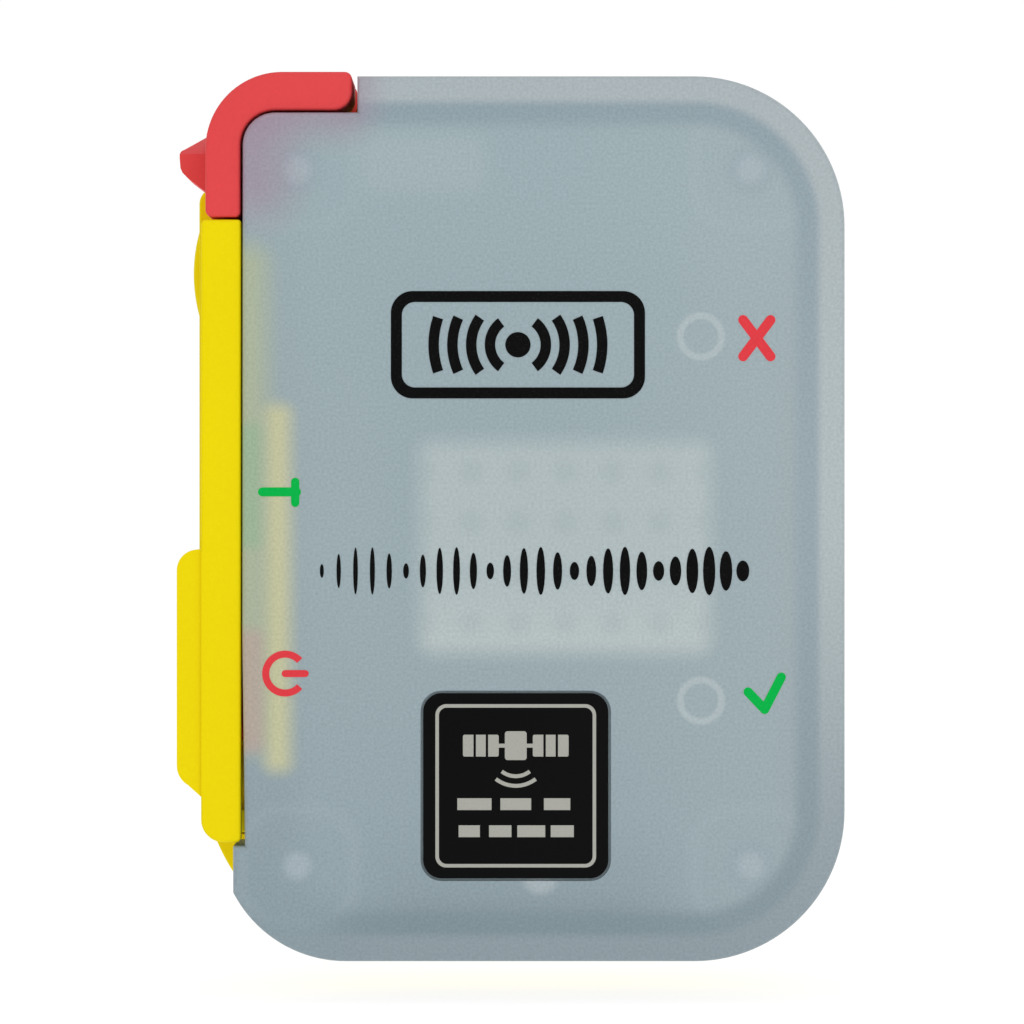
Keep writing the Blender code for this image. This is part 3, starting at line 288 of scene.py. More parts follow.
def low_left(inset, left, steps=20):
    """The lower left round, from an upright line at left down to the underside."""
    radius = LOW_LEFT_RADIUS - inset
    start = math.degrees(math.acos((left - LOW_LEFT_CENTRE) / radius))
    return arc(LOW_LEFT_CENTRE, LOW_LEFT_RADIUS, radius, 360 - start, 270, steps)


def cover_outline(corner):
    """The front cover's outline, with the latch's ledge and the step under the guard."""
    points = arc(RIGHT - corner, corner, corner, -90, 0, 28)
    points += arc(RIGHT - corner, TOP - corner, corner, 0, 90, 28)
    points += [(NOTCH_X, TOP), (NOTCH_X, LEDGE_Z)]
    points += arc(LATCH_INNER_X, INNER_Z, LATCH_INNER - GAP, 90, 180, 12)
    points += [(LEFT_FACE, RELIEF_TOP), (RELIEF_X, STEP_TOP), (STEP_X, STEP_TOP)]
    return points + low_left(0.0, STEP_X)


def cover_hollow(corner, wall):
    """The hollow behind the cover's face."""
    left = LEFT_FACE + wall
    ledge = LEDGE_Z - wall
    points = arc(RIGHT - corner, corner, corner - wall, -90, 0, 20)
    points += arc(RIGHT - corner, TOP - corner, corner - wall, 0, 90, 20)
    points += [(NOTCH_X + wall, TOP - wall), (NOTCH_X + wall, ledge), (left + 1.3, ledge),
               (left, ledge - 1.3)]
    return points + low_left(wall, left)


def upstand_outline(corner):
    """The upstand that forms the floor of the aerial's channel and of the button bay."""
    ledge = LEDGE_Z - GAP
    inner = corner - CHANNEL_DEPTH
    points = arc(RIGHT - corner, corner, inner, -90, 0, 28)
    points += arc(RIGHT - corner, TOP - corner, inner, 0, 90, 28)
    points += [(NOTCH_X + GAP, TOP - CHANNEL_DEPTH), (NOTCH_X + GAP, ledge),
               (BAY_FLOOR + 1.5, ledge), (BAY_FLOOR, ledge - 1.5)]
    return points + low_left(CHANNEL_DEPTH, BAY_FLOOR)


def seal_outline(grow):
    """The sealed chamber's outline, which steps round the corner screws, grown outwards."""
    left, right = LEFT_FACE + CHAMBER_INSET - grow, RIGHT - CHAMBER_INSET + grow
    bottom, top = CHAMBER_INSET - grow, TOP - CHAMBER_INSET + grow
    reach, bend = POST_REACH - grow, POST_ROUND - grow
    screw_left, screw_right, screw_low, screw_high = screw_lines()
    x_low_left, x_right = screw_left + reach, screw_right - reach
    x_latch = screw_left + POST_REACH_LATCH - grow
    z_low, z_high = screw_low + reach, screw_high - reach
    points = [(x_low_left, bottom), (x_right, bottom)]
    points += arc(x_right + bend, z_low - bend, bend, 180, 90, 12)
    points += [(right, z_low), (right, z_high)]
    points += arc(x_right + bend, z_high + bend, bend, 270, 180, 12)
    points += [(x_right, top), (x_latch, top)]
    points += arc(x_latch - bend, z_high + bend, bend, 360, 270, 12)
    points += [(left, z_high), (left, z_low)]
    return points + arc(x_low_left - bend, z_low - bend, bend, 90, 0, 12)


def screw_lines():
    """The two upright and the two level lines that the case screws stand on."""
    places = [middle(name) for name in SCREW_NODES]
    across, up = [place[0] for place in places], [place[2] for place in places]
    return min(across), max(across), min(up), max(up)


def rail_outline():
    """The rear case's side rail, which sweeps in at its foot."""
    points = [(RAIL_INNER, RAIL_BOTTOM), (RAIL_INNER, RAIL_TOP)]
    points += arc(RAIL_X + 2.0, RAIL_TOP - 2.0, 2.0, 90, 180, 10)
    end = math.degrees(math.asin((RAIL_SWEEP_Z - RAIL_BOTTOM) / RAIL_SWEEP))
    return points + arc(RAIL_X + RAIL_SWEEP, RAIL_SWEEP_Z, RAIL_SWEEP, 180, 180 + end, 26)


def latch_outline():
    """The latch seen from the front: a short arm, a round corner and a leg."""
    right_of_leg = LATCH_INNER_X - LATCH_INNER
    pivot_x, pivot_z = LATCH_PIVOT
    corner_x = LATCH_HIGH[0] - 0.8
    bottom = LATCH_LOW[2]
    points = arc(pivot_x, pivot_z, LATCH_HEEL, -90, 0, 12)
    points += arc(corner_x, LATCH_HIGH[2] - 0.8, 0.8, 0, 90, 6)
    points += arc(LATCH_LEFT + LATCH_CORNER, LATCH_HIGH[2] - LATCH_CORNER, LATCH_CORNER, 90, 180, 24)
    points += arc(LATCH_LEFT + 0.8, bottom + 0.8, 0.8, 180, 270, 6)
    points += arc(right_of_leg - 0.6, bottom + 0.6, 0.6, 270, 360, 6)
    points += arc(LATCH_INNER_X, INNER_Z, LATCH_INNER, 180, 90, 14)
    return points


def knob_outline():
    """The pull knob on the latch's leg: a blunt wedge."""
    knob_x = LATCH_LOW[0]
    return [(LATCH_LEFT - 0.4, KNOB_BOTTOM), (LATCH_LEFT + 1.5, KNOB_BOTTOM), (LATCH_LEFT + 1.5, KNOB_TOP),
            (LATCH_LEFT - 0.2, KNOB_TOP), (knob_x + 0.7, KNOB_TOP - 1.7), (knob_x + 0.2, KNOB_TOP - 2.0),
            (knob_x, KNOB_TOP - 2.4), (knob_x, KNOB_BOTTOM + 2.7), (knob_x + 0.2, KNOB_BOTTOM + 2.2),
            (knob_x + 0.7, KNOB_BOTTOM + 1.7)]


def guard_outline():
    """The guard seen from the front: a long strip with a hump over the lower button."""
    bottom, top = GUARD_LOW[2], GUARD_HIGH[2]
    hump_x = GUARD_LOW[0]
    points = arc(GUARD_RIGHT - 0.6, bottom + 0.6, 0.6, 270, 360, 6)
    points += arc(GUARD_RIGHT - 0.4, top - 0.4, 0.4, 0, 90, 5)
    points += arc(GUARD_LEFT + 0.6, top - 0.6, 0.6, 90, 180, 6)
    points += [(GUARD_LEFT, HUMP_HIGH)]
    points += arc(hump_x + 2.4, HUMP_HIGH - 2.4, 2.4, 90, 180, 14)
    points += arc(hump_x + 2.6, HUMP_LOW + 3.6, 2.6, 180, 240, 10)
    points += [(GUARD_LEFT, HUMP_LOW)]
    points += arc(GUARD_LEFT + 2.6, bottom + 2.6, 2.6, 180, 270, 12)
    return points


def thumb_outline():
    """A shallow dome on the rear case's side rail."""
    rise = RAIL_X - CASE_LOW[0]
    reach = (THUMB_HIGH - THUMB_LOW) / 2
    radius = (reach * reach + rise * rise) / (2 * rise)
    spread = math.degrees(math.asin(reach / radius))
    points = arc(RAIL_X - rise + radius, (THUMB_HIGH + THUMB_LOW) / 2, radius, 180 - spread, 180 + spread, 24)
    return points + [(RAIL_X + 1.0, THUMB_LOW), (RAIL_X + 1.0, THUMB_HIGH)]


# ---------------------------------------------------------------- solids

def link(name, bm):
    """Turn a bmesh in millimetres into an object of the scene."""
    bmesh.ops.recalc_face_normals(bm, faces=bm.faces)
    bmesh.ops.scale(bm, vec=(MM, MM, MM), verts=bm.verts)
    mesh = bpy.data.meshes.new(name)
    bm.to_mesh(mesh)
    bm.free()
    item = bpy.data.objects.new(name, mesh)
    bpy.context.collection.objects.link(item)
    return item


def extrude(name, corners, shift, rims, steps=5):
    """Extrude a closed face by a shift. Rims gives (axis, level, radius) of each rounded rim."""
    bm = bmesh.new()
    face = bm.faces.new([bm.verts.new(corner) for corner in corners])
    made = bmesh.ops.extrude_face_region(bm, geom=[face])
    moved = [part for part in made["geom"] if isinstance(part, bmesh.types.BMVert)]
    bmesh.ops.translate(bm, vec=shift, verts=moved)
    bmesh.ops.recalc_face_normals(bm, faces=bm.faces)
    for axis, level, radius in rims:
        if radius:
            rim = [edge for edge in bm.edges
                   if all(abs(vert.co[axis] - level) < 1e-4 for vert in edge.verts)]
            bmesh.ops.bevel(bm, geom=rim, offset=radius, segments=steps, profile=0.5,
                            affect="EDGES", clamp_overlap=True)
    return link(name, bm)


def slab(name, outline, front, back, round_front=0.0, round_back=0.0, steps=5):
    """Extrude a front-view outline from front to back, with either rim rounded."""
    corners = [(x, front, z) for x, z in outline]
    return extrude(name, corners, (0, back - front, 0), ((1, front, round_front), (1, back, round_back)),
                   steps)


def block(name, low, high):
    """A box between two corners, only ever used to cut with."""
    outline = [(low[0], low[2]), (high[0], low[2]), (high[0], high[2]), (low[0], high[2])]
    return slab(name, outline, low[1], high[1])


def side_slab(name, outline, left, right, round_left=0.0):
    """Extrude a side-view outline of (y, z) from left to right."""
    corners = [(left, y, z) for y, z in outline]
    return extrude(name, corners, (right - left, 0, 0), ((0, left, round_left),))


def lathe(name, profile, start, direction, steps=32):
    """Turn a profile of (radius, distance) round a line parallel to an axis."""
    bm = bmesh.new()
    axis = [abs(value) for value in direction].index(1)
    across, up = [(1, 2), (2, 0), (0, 1)][axis]
    rings = []
    for radius, distance in profile:
        ring = []
        for step in range(steps if radius else 1):
            angle = 2 * math.pi * step / steps
            place = [start[i] + direction[i] * distance for i in range(3)]
            place[across] += radius * math.cos(angle)
            place[up] += radius * math.sin(angle)
            ring.append(bm.verts.new(place))
        rings.append(ring)
    pairs = list(zip(rings, rings[1:]))
    if len(rings[0]) > 1:
        pairs.append((rings[-1], rings[0]))
    for lower, upper in pairs:
        for step in range(steps):
            after = (step + 1) % steps
            corners = ([lower[step], lower[after]] if len(lower) > 1 else [lower[0]])
            corners += [upper[after], upper[step]] if len(upper) > 1 else [upper[0]]
            bm.faces.new(corners)
    return link(name, bm)


def drill(name, radius, start, end, steps=24):
    """A round rod between two points on a line parallel to an axis, used to cut with or to join."""
    span = [end[i] - start[i] for i in range(3)]
    distance = max(abs(value) for value in span)
    direction = [round(value / distance) for value in span]
    return lathe(name, [(0, 0), (radius, 0), (radius, distance), (0, distance)], start, direction, steps)


def shape(item, changes):
    """Join and cut tools into a piece, in order, and leave a plain mesh."""
    for operation, tool in changes:
        change = item.modifiers.new(operation, "BOOLEAN")
        change.operation = operation
        change.solver = "EXACT"
        change.object = tool
        tool.hide_render = True
    settle(item)
    for _, tool in changes:
        bpy.data.objects.remove(tool, do_unlink=True)


def settle(item):
    """Turn a piece and its modifiers into a plain mesh."""
    graph = bpy.context.evaluated_depsgraph_get()
    mesh = bpy.data.meshes.new_from_object(item.evaluated_get(graph))
    item.modifiers.clear()
    before = item.data
    item.data = mesh
    mesh.name = item.name
    bpy.data.meshes.remove(before)


def soften(item, width=0.18, segments=2, angle=40.0):
    """Round the hard edges that cutting left, and shade the piece smoothly."""
    bm = bmesh.new()
    bm.from_mesh(item.data)
    bmesh.ops.remove_doubles(bm, verts=bm.verts, dist=1e-6)
    bmesh.ops.dissolve_degenerate(bm, dist=1e-6, edges=bm.edges)
    bm.to_mesh(item.data)
    bm.free()
    if width:
        edge = item.modifiers.new("soften", "BEVEL")
        edge.width = width * MM
        edge.segments = segments
        edge.limit_method = "ANGLE"
        edge.angle_limit = math.radians(angle)
        edge.use_clamp_overlap = True
        settle(item)
    item.data.shade_smooth()
    item.data.set_sharp_from_angle(angle=math.radians(38))


def dress(item, material, body, slot, *nodes):
    """Give a piece its material and its body, and hide the CAD nodes that it stands for. The slot is not used."""
    item.data.materials.clear()
    item.data.materials.append(material)
    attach(item, body)
    if nodes:
        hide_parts(*nodes)
    return item


# ---------------------------------------------------------------- shader groups

def new_group(name, inputs, outputs):
    """A shader node group with its sockets. Inputs are (name, type, default)."""
    group = bpy.data.node_groups.new(name, "ShaderNodeTree")
    for label, kind, default in inputs:
        socket = group.interface.new_socket(label, in_out="INPUT", socket_type=kind)
        if default is not None:
            socket.default_value = default
    for label, kind in outputs:
        group.interface.new_socket(label, in_out="OUTPUT", socket_type=kind)
    return group, group.nodes.new("NodeGroupInput"), group.nodes.new("NodeGroupOutput")


def node(tree, kind, settings=None, values=None):
    """Add a node, with settings on the node and values or links on its inputs."""
    made = tree.nodes.new(kind)
    for key, value in (settings or {}).items():
        setattr(made, key, value)
    for key, value in (values or {}).items():
        put(tree, value, made.inputs[key])
    return made


def put(tree, value, socket):
    """Set an input to a constant, or link it from a socket."""
    if isinstance(value, bpy.types.NodeSocket):
        tree.links.new(value, socket)
    else:
        socket.default_value = value


def math_node(tree, operation, first, second=0.0, clamp=False):
    """A Math node's result."""
    made = node(tree, "ShaderNodeMath", {"operation": operation, "use_clamp": clamp}, {0: first, 1: second})
    return made.outputs[0]


def blend_colour(tree, factor, first, second, mode="MIX"):
    """A colour mix's result."""
    made = node(tree, "ShaderNodeMix", {"data_type": "RGBA", "blend_type": mode})
    put(tree, factor, made.inputs["Factor"])
    put(tree, first, made.inputs[6])
    put(tree, second, made.inputs[7])
    return made.outputs[2]


def tone(rgb):
    """A colour property as the four values of a colour socket."""
    return (*rgb, 1.0)


def build_grain():
    """Fine moulded grain with a slow change of tone: masks, a height and a roughness."""
    group, start, end = new_group("moulded_grain", [
        ("Position", "NodeSocketVector", None), ("Colour", "NodeSocketColor", (0.8, 0.8, 0.8, 1.0)),
        ("Grain Scale", "NodeSocketFloat", 2600.0), ("Grain Tone", "NodeSocketFloat", 0.05),
        ("Cloud Scale", "NodeSocketFloat", 45.0), ("Cloud Tone", "NodeSocketFloat", 0.05),
        ("Rough", "NodeSocketFloat", 0.5), ("Rough Change", "NodeSocketFloat", 0.12)],
        [("Colour", "NodeSocketColor"), ("Roughness", "NodeSocketFloat"), ("Height", "NodeSocketFloat")])
    given = start.outputs
    fine = node(group, "ShaderNodeTexNoise", None,
                {"Vector": given["Position"], "Scale": given["Grain Scale"],
                                                   "Detail": 3.0, "Roughness": 0.6}).outputs["Fac"]
    cloud = node(group, "ShaderNodeTexNoise", None,
                 {"Vector": given["Position"], "Scale": given["Cloud Scale"],
                                                    "Detail": 4.0, "Roughness": 0.55}).outputs["Fac"]
    scuff = node(group, "ShaderNodeTexNoise", {"noise_dimensions": "3D"},
                 {"Vector": given["Position"], "Scale": 420.0, "Detail": 6.0, "Roughness": 0.7,
                  "Distortion": 1.5}).outputs["Fac"]
    fine_part = math_node(group, "MULTIPLY", math_node(group, "SUBTRACT", fine, 0.5), given["Grain Tone"])
    cloud_part = math_node(group, "MULTIPLY", math_node(group, "SUBTRACT", cloud, 0.5), given["Cloud Tone"])
    change = math_node(group, "ADD", math_node(group, "ADD", fine_part, cloud_part), 1.0)
    tinted = node(group, "ShaderNodeVectorMath", {"operation": "SCALE"})
    group.links.new(given["Colour"], tinted.inputs[0])
    group.links.new(change, tinted.inputs["Scale"])
    group.links.new(tinted.outputs[0], end.inputs["Colour"])
    rough_part = math_node(group, "MULTIPLY", math_node(group, "SUBTRACT", scuff, 0.5), given["Rough Change"])
    rough = math_node(group, "ADD", given["Rough"], rough_part, True)
    group.links.new(rough, end.inputs["Roughness"])
    height = math_node(group, "ADD", fine, math_node(group, "MULTIPLY", scuff, 0.25))
    group.links.new(height, end.inputs["Height"])
    return group


def build_soft_box():
    """A blurred rounded box seen through the cover. Its distance is in millimetres, negative inside."""
    group, start, end = new_group("soft_box", [
        ("Position", "NodeSocketVector", None), ("Centre", "NodeSocketVector", (0, 0, 0)),
        ("Half Size", "NodeSocketVector", (1, 1, 1)), ("Round", "NodeSocketFloat", 1.0),
        ("Blur", "NodeSocketFloat", 1.0)],
        [("Mask", "NodeSocketFloat"), ("Distance", "NodeSocketFloat")])
    given = start.outputs

    def vector(operation, first, second=None):
        made = node(group, "ShaderNodeVectorMath", {"operation": operation}, {0: first})
        if second is not None:
            put(group, second, made.inputs[1])
        return made.outputs[0]

    round_vector = node(group, "ShaderNodeCombineXYZ", None,
                        {"X": given["Round"], "Y": given["Round"], "Z": given["Round"]}).outputs[0]
    core = vector("SUBTRACT", given["Half Size"], round_vector)
    away = vector("ABSOLUTE", vector("SUBTRACT", given["Position"], given["Centre"]))
    beyond = vector("MAXIMUM", vector("SUBTRACT", away, core), (0.0, 0.0, 0.0))
    flat = vector("MULTIPLY", beyond, (1.0, 0.0, 1.0))
    reach = node(group, "ShaderNodeVectorMath", {"operation": "LENGTH"}, {0: flat}).outputs["Value"]
    distance = math_node(group, "SUBTRACT", reach, given["Round"])
    group.links.new(distance, end.inputs["Distance"])
    share = math_node(group, "SUBTRACT", 0.5, math_node(group, "DIVIDE", distance, given["Blur"]))
    eased = node(group, "ShaderNodeMapRange", {"interpolation_type": "SMOOTHSTEP", "clamp": True},
                 {"Value": share})
    group.links.new(eased.outputs[0], end.inputs["Mask"])
    return group


def build_edge_wear():
    """A soft mask of light handling scratches, made of stretched noise over the whole piece."""
    group, start, end = new_group("handling_marks", [
        ("Position", "NodeSocketVector", None), ("Scale", "NodeSocketFloat", 160.0),
        ("Cover", "NodeSocketFloat", 0.2)], [("Mask", "NodeSocketFloat")])
    given = start.outputs
    stretched = node(group, "ShaderNodeMapping", {"vector_type": "TEXTURE"},
                     {"Vector": given["Position"], "Rotation": (0.3, 0.5, 0.2), "Scale": (1.0, 1.0, 9.0)})
    lines = node(group, "ShaderNodeTexNoise", None, {"Vector": stretched.outputs[0], "Scale": given["Scale"],
                                                    "Detail": 8.0, "Roughness": 0.75}).outputs["Fac"]
    edge = math_node(group, "SUBTRACT", 0.82, given["Cover"])
    mask = node(group, "ShaderNodeMapRange", {"clamp": True, "interpolation_type": "SMOOTHSTEP"},
                {"Value": lines, "From Min": edge, "From Max": 0.9})
    group.links.new(mask.outputs[0], end.inputs["Mask"])
    return group


# ---------------------------------------------------------------- materials

GROUPS = {}


def group(name):
    """A shared shader group, built the first time that it is asked for."""
    makers = {"moulded_grain": build_grain, "soft_box": build_soft_box, "handling_marks": build_edge_wear}
    if name not in GROUPS:
        GROUPS[name] = makers[name]()
    return GROUPS[name]


def start_material(name, settings):
    """A material with its shader, its tree and the place on the piece in metres."""
    made = bpy.data.materials.new(name)
    made.use_nodes = True
    tree = made.node_tree
    shader = tree.nodes["Principled BSDF"]
    for key, value in settings.items():
        shader.inputs[key].default_value = value
    place = node(tree, "ShaderNodeTexCoord").outputs["Object"]
    return made, tree, shader, place


def grain(tree, place, rgb, shader, values, bump):
    """Put moulded grain on a colour and feed the shader with it."""
    made = node(tree, "ShaderNodeGroup", {"node_tree": group("moulded_grain")},
                {"Position": place, "Colour": rgb, **values})
    tree.links.new(made.outputs["Colour"], shader.inputs["Base Color"])
    tree.links.new(made.outputs["Roughness"], shader.inputs["Roughness"])
    if bump:
        lift = node(tree, "ShaderNodeBump", None, {"Strength": bump, "Distance": 0.0001,
                                                  "Height": made.outputs["Height"]})
        tree.links.new(lift.outputs[0], shader.inputs["Normal"])
    return made


def moulded(name, rgb, rough=0.5, bump=0.25, marks=0.12, shine=0.3, **values):
    """A moulded plastic: grain, a slow change of tone, and light handling marks."""
    made, tree, shader, place = start_material(name, {"Specular IOR Level": shine})
    wear = node(tree, "ShaderNodeGroup", {"node_tree": group("handling_marks")},
                {"Position": place, "Cover": 0.12}).outputs["Mask"]
    paler = tuple(min(1.0, value * 1.12 + 0.02) for value in rgb)
    base = blend_colour(tree, math_node(tree, "MULTIPLY", wear, marks), tone(rgb), tone(paler))
    grain(tree, place, base, shader, {"Rough": rough, **values}, bump)
    return made


def sheet_metal(name, rgb, rough=0.3, brushed=300.0):
    """Plain metal with fine lines along it and a little tarnish."""
    made, tree, shader, place = start_material(name, {"Metallic": 1.0})
    line = node(tree, "ShaderNodeMapping", {"vector_type": "POINT"},
                {"Vector": place, "Scale": (brushed, brushed, brushed * 14)}).outputs[0]
    streak = node(tree, "ShaderNodeTexNoise", None, {"Vector": line, "Scale": 1.0, "Detail": 4.0,
                                                    "Roughness": 0.6}).outputs["Fac"]
    cloud = node(tree, "ShaderNodeTexNoise", None,
                 {"Vector": place, "Scale": 90.0, "Detail": 3.0}).outputs["Fac"]
    darker = tuple(value * 0.78 for value in rgb)
    base = blend_colour(tree, cloud, tone(darker), tone(rgb))
    tree.links.new(base, shader.inputs["Base Color"])
    change = math_node(tree, "MULTIPLY", math_node(tree, "SUBTRACT", streak, 0.5), 0.35)
    tree.links.new(math_node(tree, "ADD", change, rough, True), shader.inputs["Roughness"])
    lift = node(tree, "ShaderNodeBump", None, {"Strength": 0.08, "Distance": 0.0001, "Height": streak})
    tree.links.new(lift.outputs[0], shader.inputs["Normal"])
    return made


def printed(name, rgb, rough=0.45, speckle=0.28):
    """Screen-printed ink: a dense colour with tiny pinholes and a faint dot grain."""
    made, tree, shader, place = start_material(name, {"Specular IOR Level": 0.05})
    dots = node(tree, "ShaderNodeTexNoise", None,
                {"Vector": place, "Scale": 5200.0, "Detail": 2.0}).outputs["Fac"]
    pinhole = node(tree, "ShaderNodeMapRange", {"clamp": True},
                   {"Value": dots, "From Min": 0.58, "From Max": 0.78})
    paler = tuple(min(1.0, value * 1.3 + 0.05) for value in rgb)
    base = blend_colour(tree, math_node(tree, "MULTIPLY", pinhole.outputs[0], speckle), tone(rgb),
                        tone(paler))
    grain(tree, place, base, shader, {"Rough": rough, "Grain Scale": 4200.0, "Grain Tone": 0.2,
                                      "Cloud Tone": 0.06}, 0.12)
    return made


def board_material(rgb):
    """Green solder mask with copper tracks under it."""
    made, tree, shader, place = start_material("circuit_board_finish", {"Specular IOR Level": 0.5})
    cells = node(tree, "ShaderNodeTexVoronoi", {"feature": "DISTANCE_TO_EDGE", "distance": "CHEBYCHEV"},
                 {"Vector": place, "Scale": 260.0, "Randomness": 0.6}).outputs["Distance"]
    track = node(tree, "ShaderNodeMapRange", {"clamp": True},
                 {"Value": cells, "From Min": 0.05, "From Max": 0.09,
                                                               "To Min": 1.0, "To Max": 0.0}).outputs[0]
    paler = tuple(min(1.0, value * 1.7 + 0.02) for value in rgb)
    base = blend_colour(tree, track, tone(rgb), tone(paler))
    grain(tree, place, base, shader, {"Rough": 0.35, "Grain Tone": 0.04}, 0.1)
    return made


def frosted_material(colours):
    """The frosted cover, with what stands behind it showing through as soft painted shapes. It also carries
    painted light and shade: it is painted lighter towards the top and the right and darker at the bottom, with a
    painted shadow band inside its rim and painted shadow beside the latch.
    """
    made, tree, shader, place = start_material("frosted_cover_finish", {
        "Specular IOR Level": 0.4, "IOR": 1.5, "Coat Weight": 0.12, "Coat Roughness": 0.35})
    spot = node(tree, "ShaderNodeVectorMath", {"operation": "SCALE"},
                {0: place, "Scale": 1.0 / MM}).outputs[0]
    parts = node(tree, "ShaderNodeSeparateXYZ", None, {0: spot})
    across, up = parts.outputs["X"], parts.outputs["Z"]

    def soft(centre, half_size, radius, blur, where=spot):
        return node(tree, "ShaderNodeGroup", {"node_tree": group("soft_box")},
                    {"Position": where, "Centre": centre, "Half Size": half_size, "Round": radius,
                     "Blur": blur}).outputs

    def shade(value, low, high, stops):
        share = node(tree, "ShaderNodeMapRange", {"clamp": True},
                     {"Value": value, "From Min": low, "From Max": high})
        ramp = node(tree, "ShaderNodeValToRGB", None, {"Fac": share.outputs[0]}).color_ramp
        ramp.interpolation = "EASE"
        ramp.elements[0].color, ramp.elements[1].color = tone(stops[0][1]), tone(stops[-1][1])
        ramp.elements[0].position, ramp.elements[1].position = stops[0][0], stops[-1][0]
        for position, rgb in stops[1:-1]:
            ramp.elements.new(position).color = tone(rgb)
        return tree.nodes[-1].outputs[0]

    def layer(base, mask, rgb, strength=1.0):
        factor = math_node(tree, "MULTIPLY", mask, strength, True)
        return blend_colour(tree, factor, base, tone(linear(rgb)) if isinstance(rgb, tuple) else rgb)

    def behind(base, name, rgb, strength, radius, blur, grow=0.0):
        size = [value + grow for value in half(name)]
        return layer(base, soft(middle(name), size, radius, blur)["Mask"], rgb, strength)

    # Painted light: the colour runs from frost_low at the bottom to frost_high at the top.
    interior = shade(up, 0.0, TOP,
                     [(0.0, colours.frost_low), (0.5, colours.frost_middle), (1.0, colours.frost_high)])
    # Painted light: the cover is painted lighter towards its right side.
    right_painted_light = node(tree, "ShaderNodeMapRange", {"clamp": True, "interpolation_type": "SMOOTHSTEP"},
                      {"Value": across, "From Min": 5.0, "From Max": 34.0}).outputs[0]
    base = layer(interior, right_painted_light, (160, 172, 175), 0.45)
    # Painted shade: a broad darker patch low in the middle of the cover.
    base = layer(base, soft((1.0, 0, 5.0), (17.0, 1.0, 7.0), 6.0, 14.0)["Mask"], (112, 128, 135), 0.45)
    base = behind(base, "circuit_board", (155, 174, 180), 0.28, 6.0, 5.0)
    base = behind(base, "rf_shield_can", (184, 194, 194), 0.82, 1.8, 3.6, 0.2)
    can = soft(middle("rf_shield_can"), half("rf_shield_can"), 1.8, 3.6)["Mask"]
    from_can = node(tree, "ShaderNodeVectorMath", {"operation": "SUBTRACT"},
                    {0: spot,
                     1: [value + shift for value, shift in zip(middle("rf_shield_can"), (0, 0, 2.9))]})
    hole_spot = node(tree, "ShaderNodeVectorMath", {"operation": "WRAP"},
                     {0: from_can.outputs[0], 1: (2.7, 500.0, 2.9), 2: (-2.7, -500.0, -2.9)}).outputs[0]
    holes = soft((0, 0, 0), (1.3, 1.3, 1.3), 1.3, 2.0, hole_spot)["Mask"]
    base = layer(base, math_node(tree, "MULTIPLY", holes, can), (158, 172, 175), 0.34)
    base = behind(base, "strobe_reflector", (168, 180, 184), 0.36, 2.0, 4.2)
    base = behind(base, "gps_antenna", (150, 163, 166), 0.4, 2.0, 4.0)
    base = behind(base, "battery_cradle", (146, 165, 172), 0.25, 5.0, 8.0)
    base = behind(base, "switch_rail", (196, 195, 152), 0.9, 1.2, 3.0)
    for name in SCREW_NODES:
        centre = middle(name)
        post = soft(centre, (6.4, 6.4, 6.4), 4.5, 1.0)["Distance"]
        wall = math_node(tree, "SUBTRACT", 1.0,
                         math_node(tree, "DIVIDE", math_node(tree, "ABSOLUTE", post), 1.3), True)
        base = layer(base, wall, (168, 183, 189), 0.13)
        base = layer(base, soft(centre, (2.9, 2.9, 2.9), 2.9, 2.0)["Mask"], (142, 158, 167), 0.36)
        base = layer(base, soft(centre, (1.5, 1.5, 1.5), 1.5, 1.5)["Mask"], (170, 183, 190), 0.55)
    for name in ("fail_light_tube", "pass_light_tube"):
        centre = middle(name)
        outer = soft(centre, (2.75, 2.75, 2.75), 2.75, 0.45)["Mask"]
        inner = soft(centre, (1.95, 1.95, 1.95), 1.95, 0.45)["Mask"]
        base = layer(base, math_node(tree, "SUBTRACT", outer, inner, True), (174, 186, 189), 0.75)
        base = layer(base, inner, (152, 168, 173), 0.5)
    vent = middle("pressure_vent")
    vent_mask = soft(vent, (2.5, 2.5, 2.5), 2.5, 0.8)["Mask"]
    ribs = node(tree, "ShaderNodeTexWave", {"wave_type": "RINGS", "rings_direction": "SPHERICAL"},
                {"Vector": node(tree, "ShaderNodeVectorMath", {"operation": "SUBTRACT"},
                                {0: spot, 1: vent}).outputs[0], "Scale": 0.45}).outputs["Fac"]
    base = layer(base, math_node(tree, "MULTIPLY", vent_mask, ribs), (178, 188, 192), 0.55)
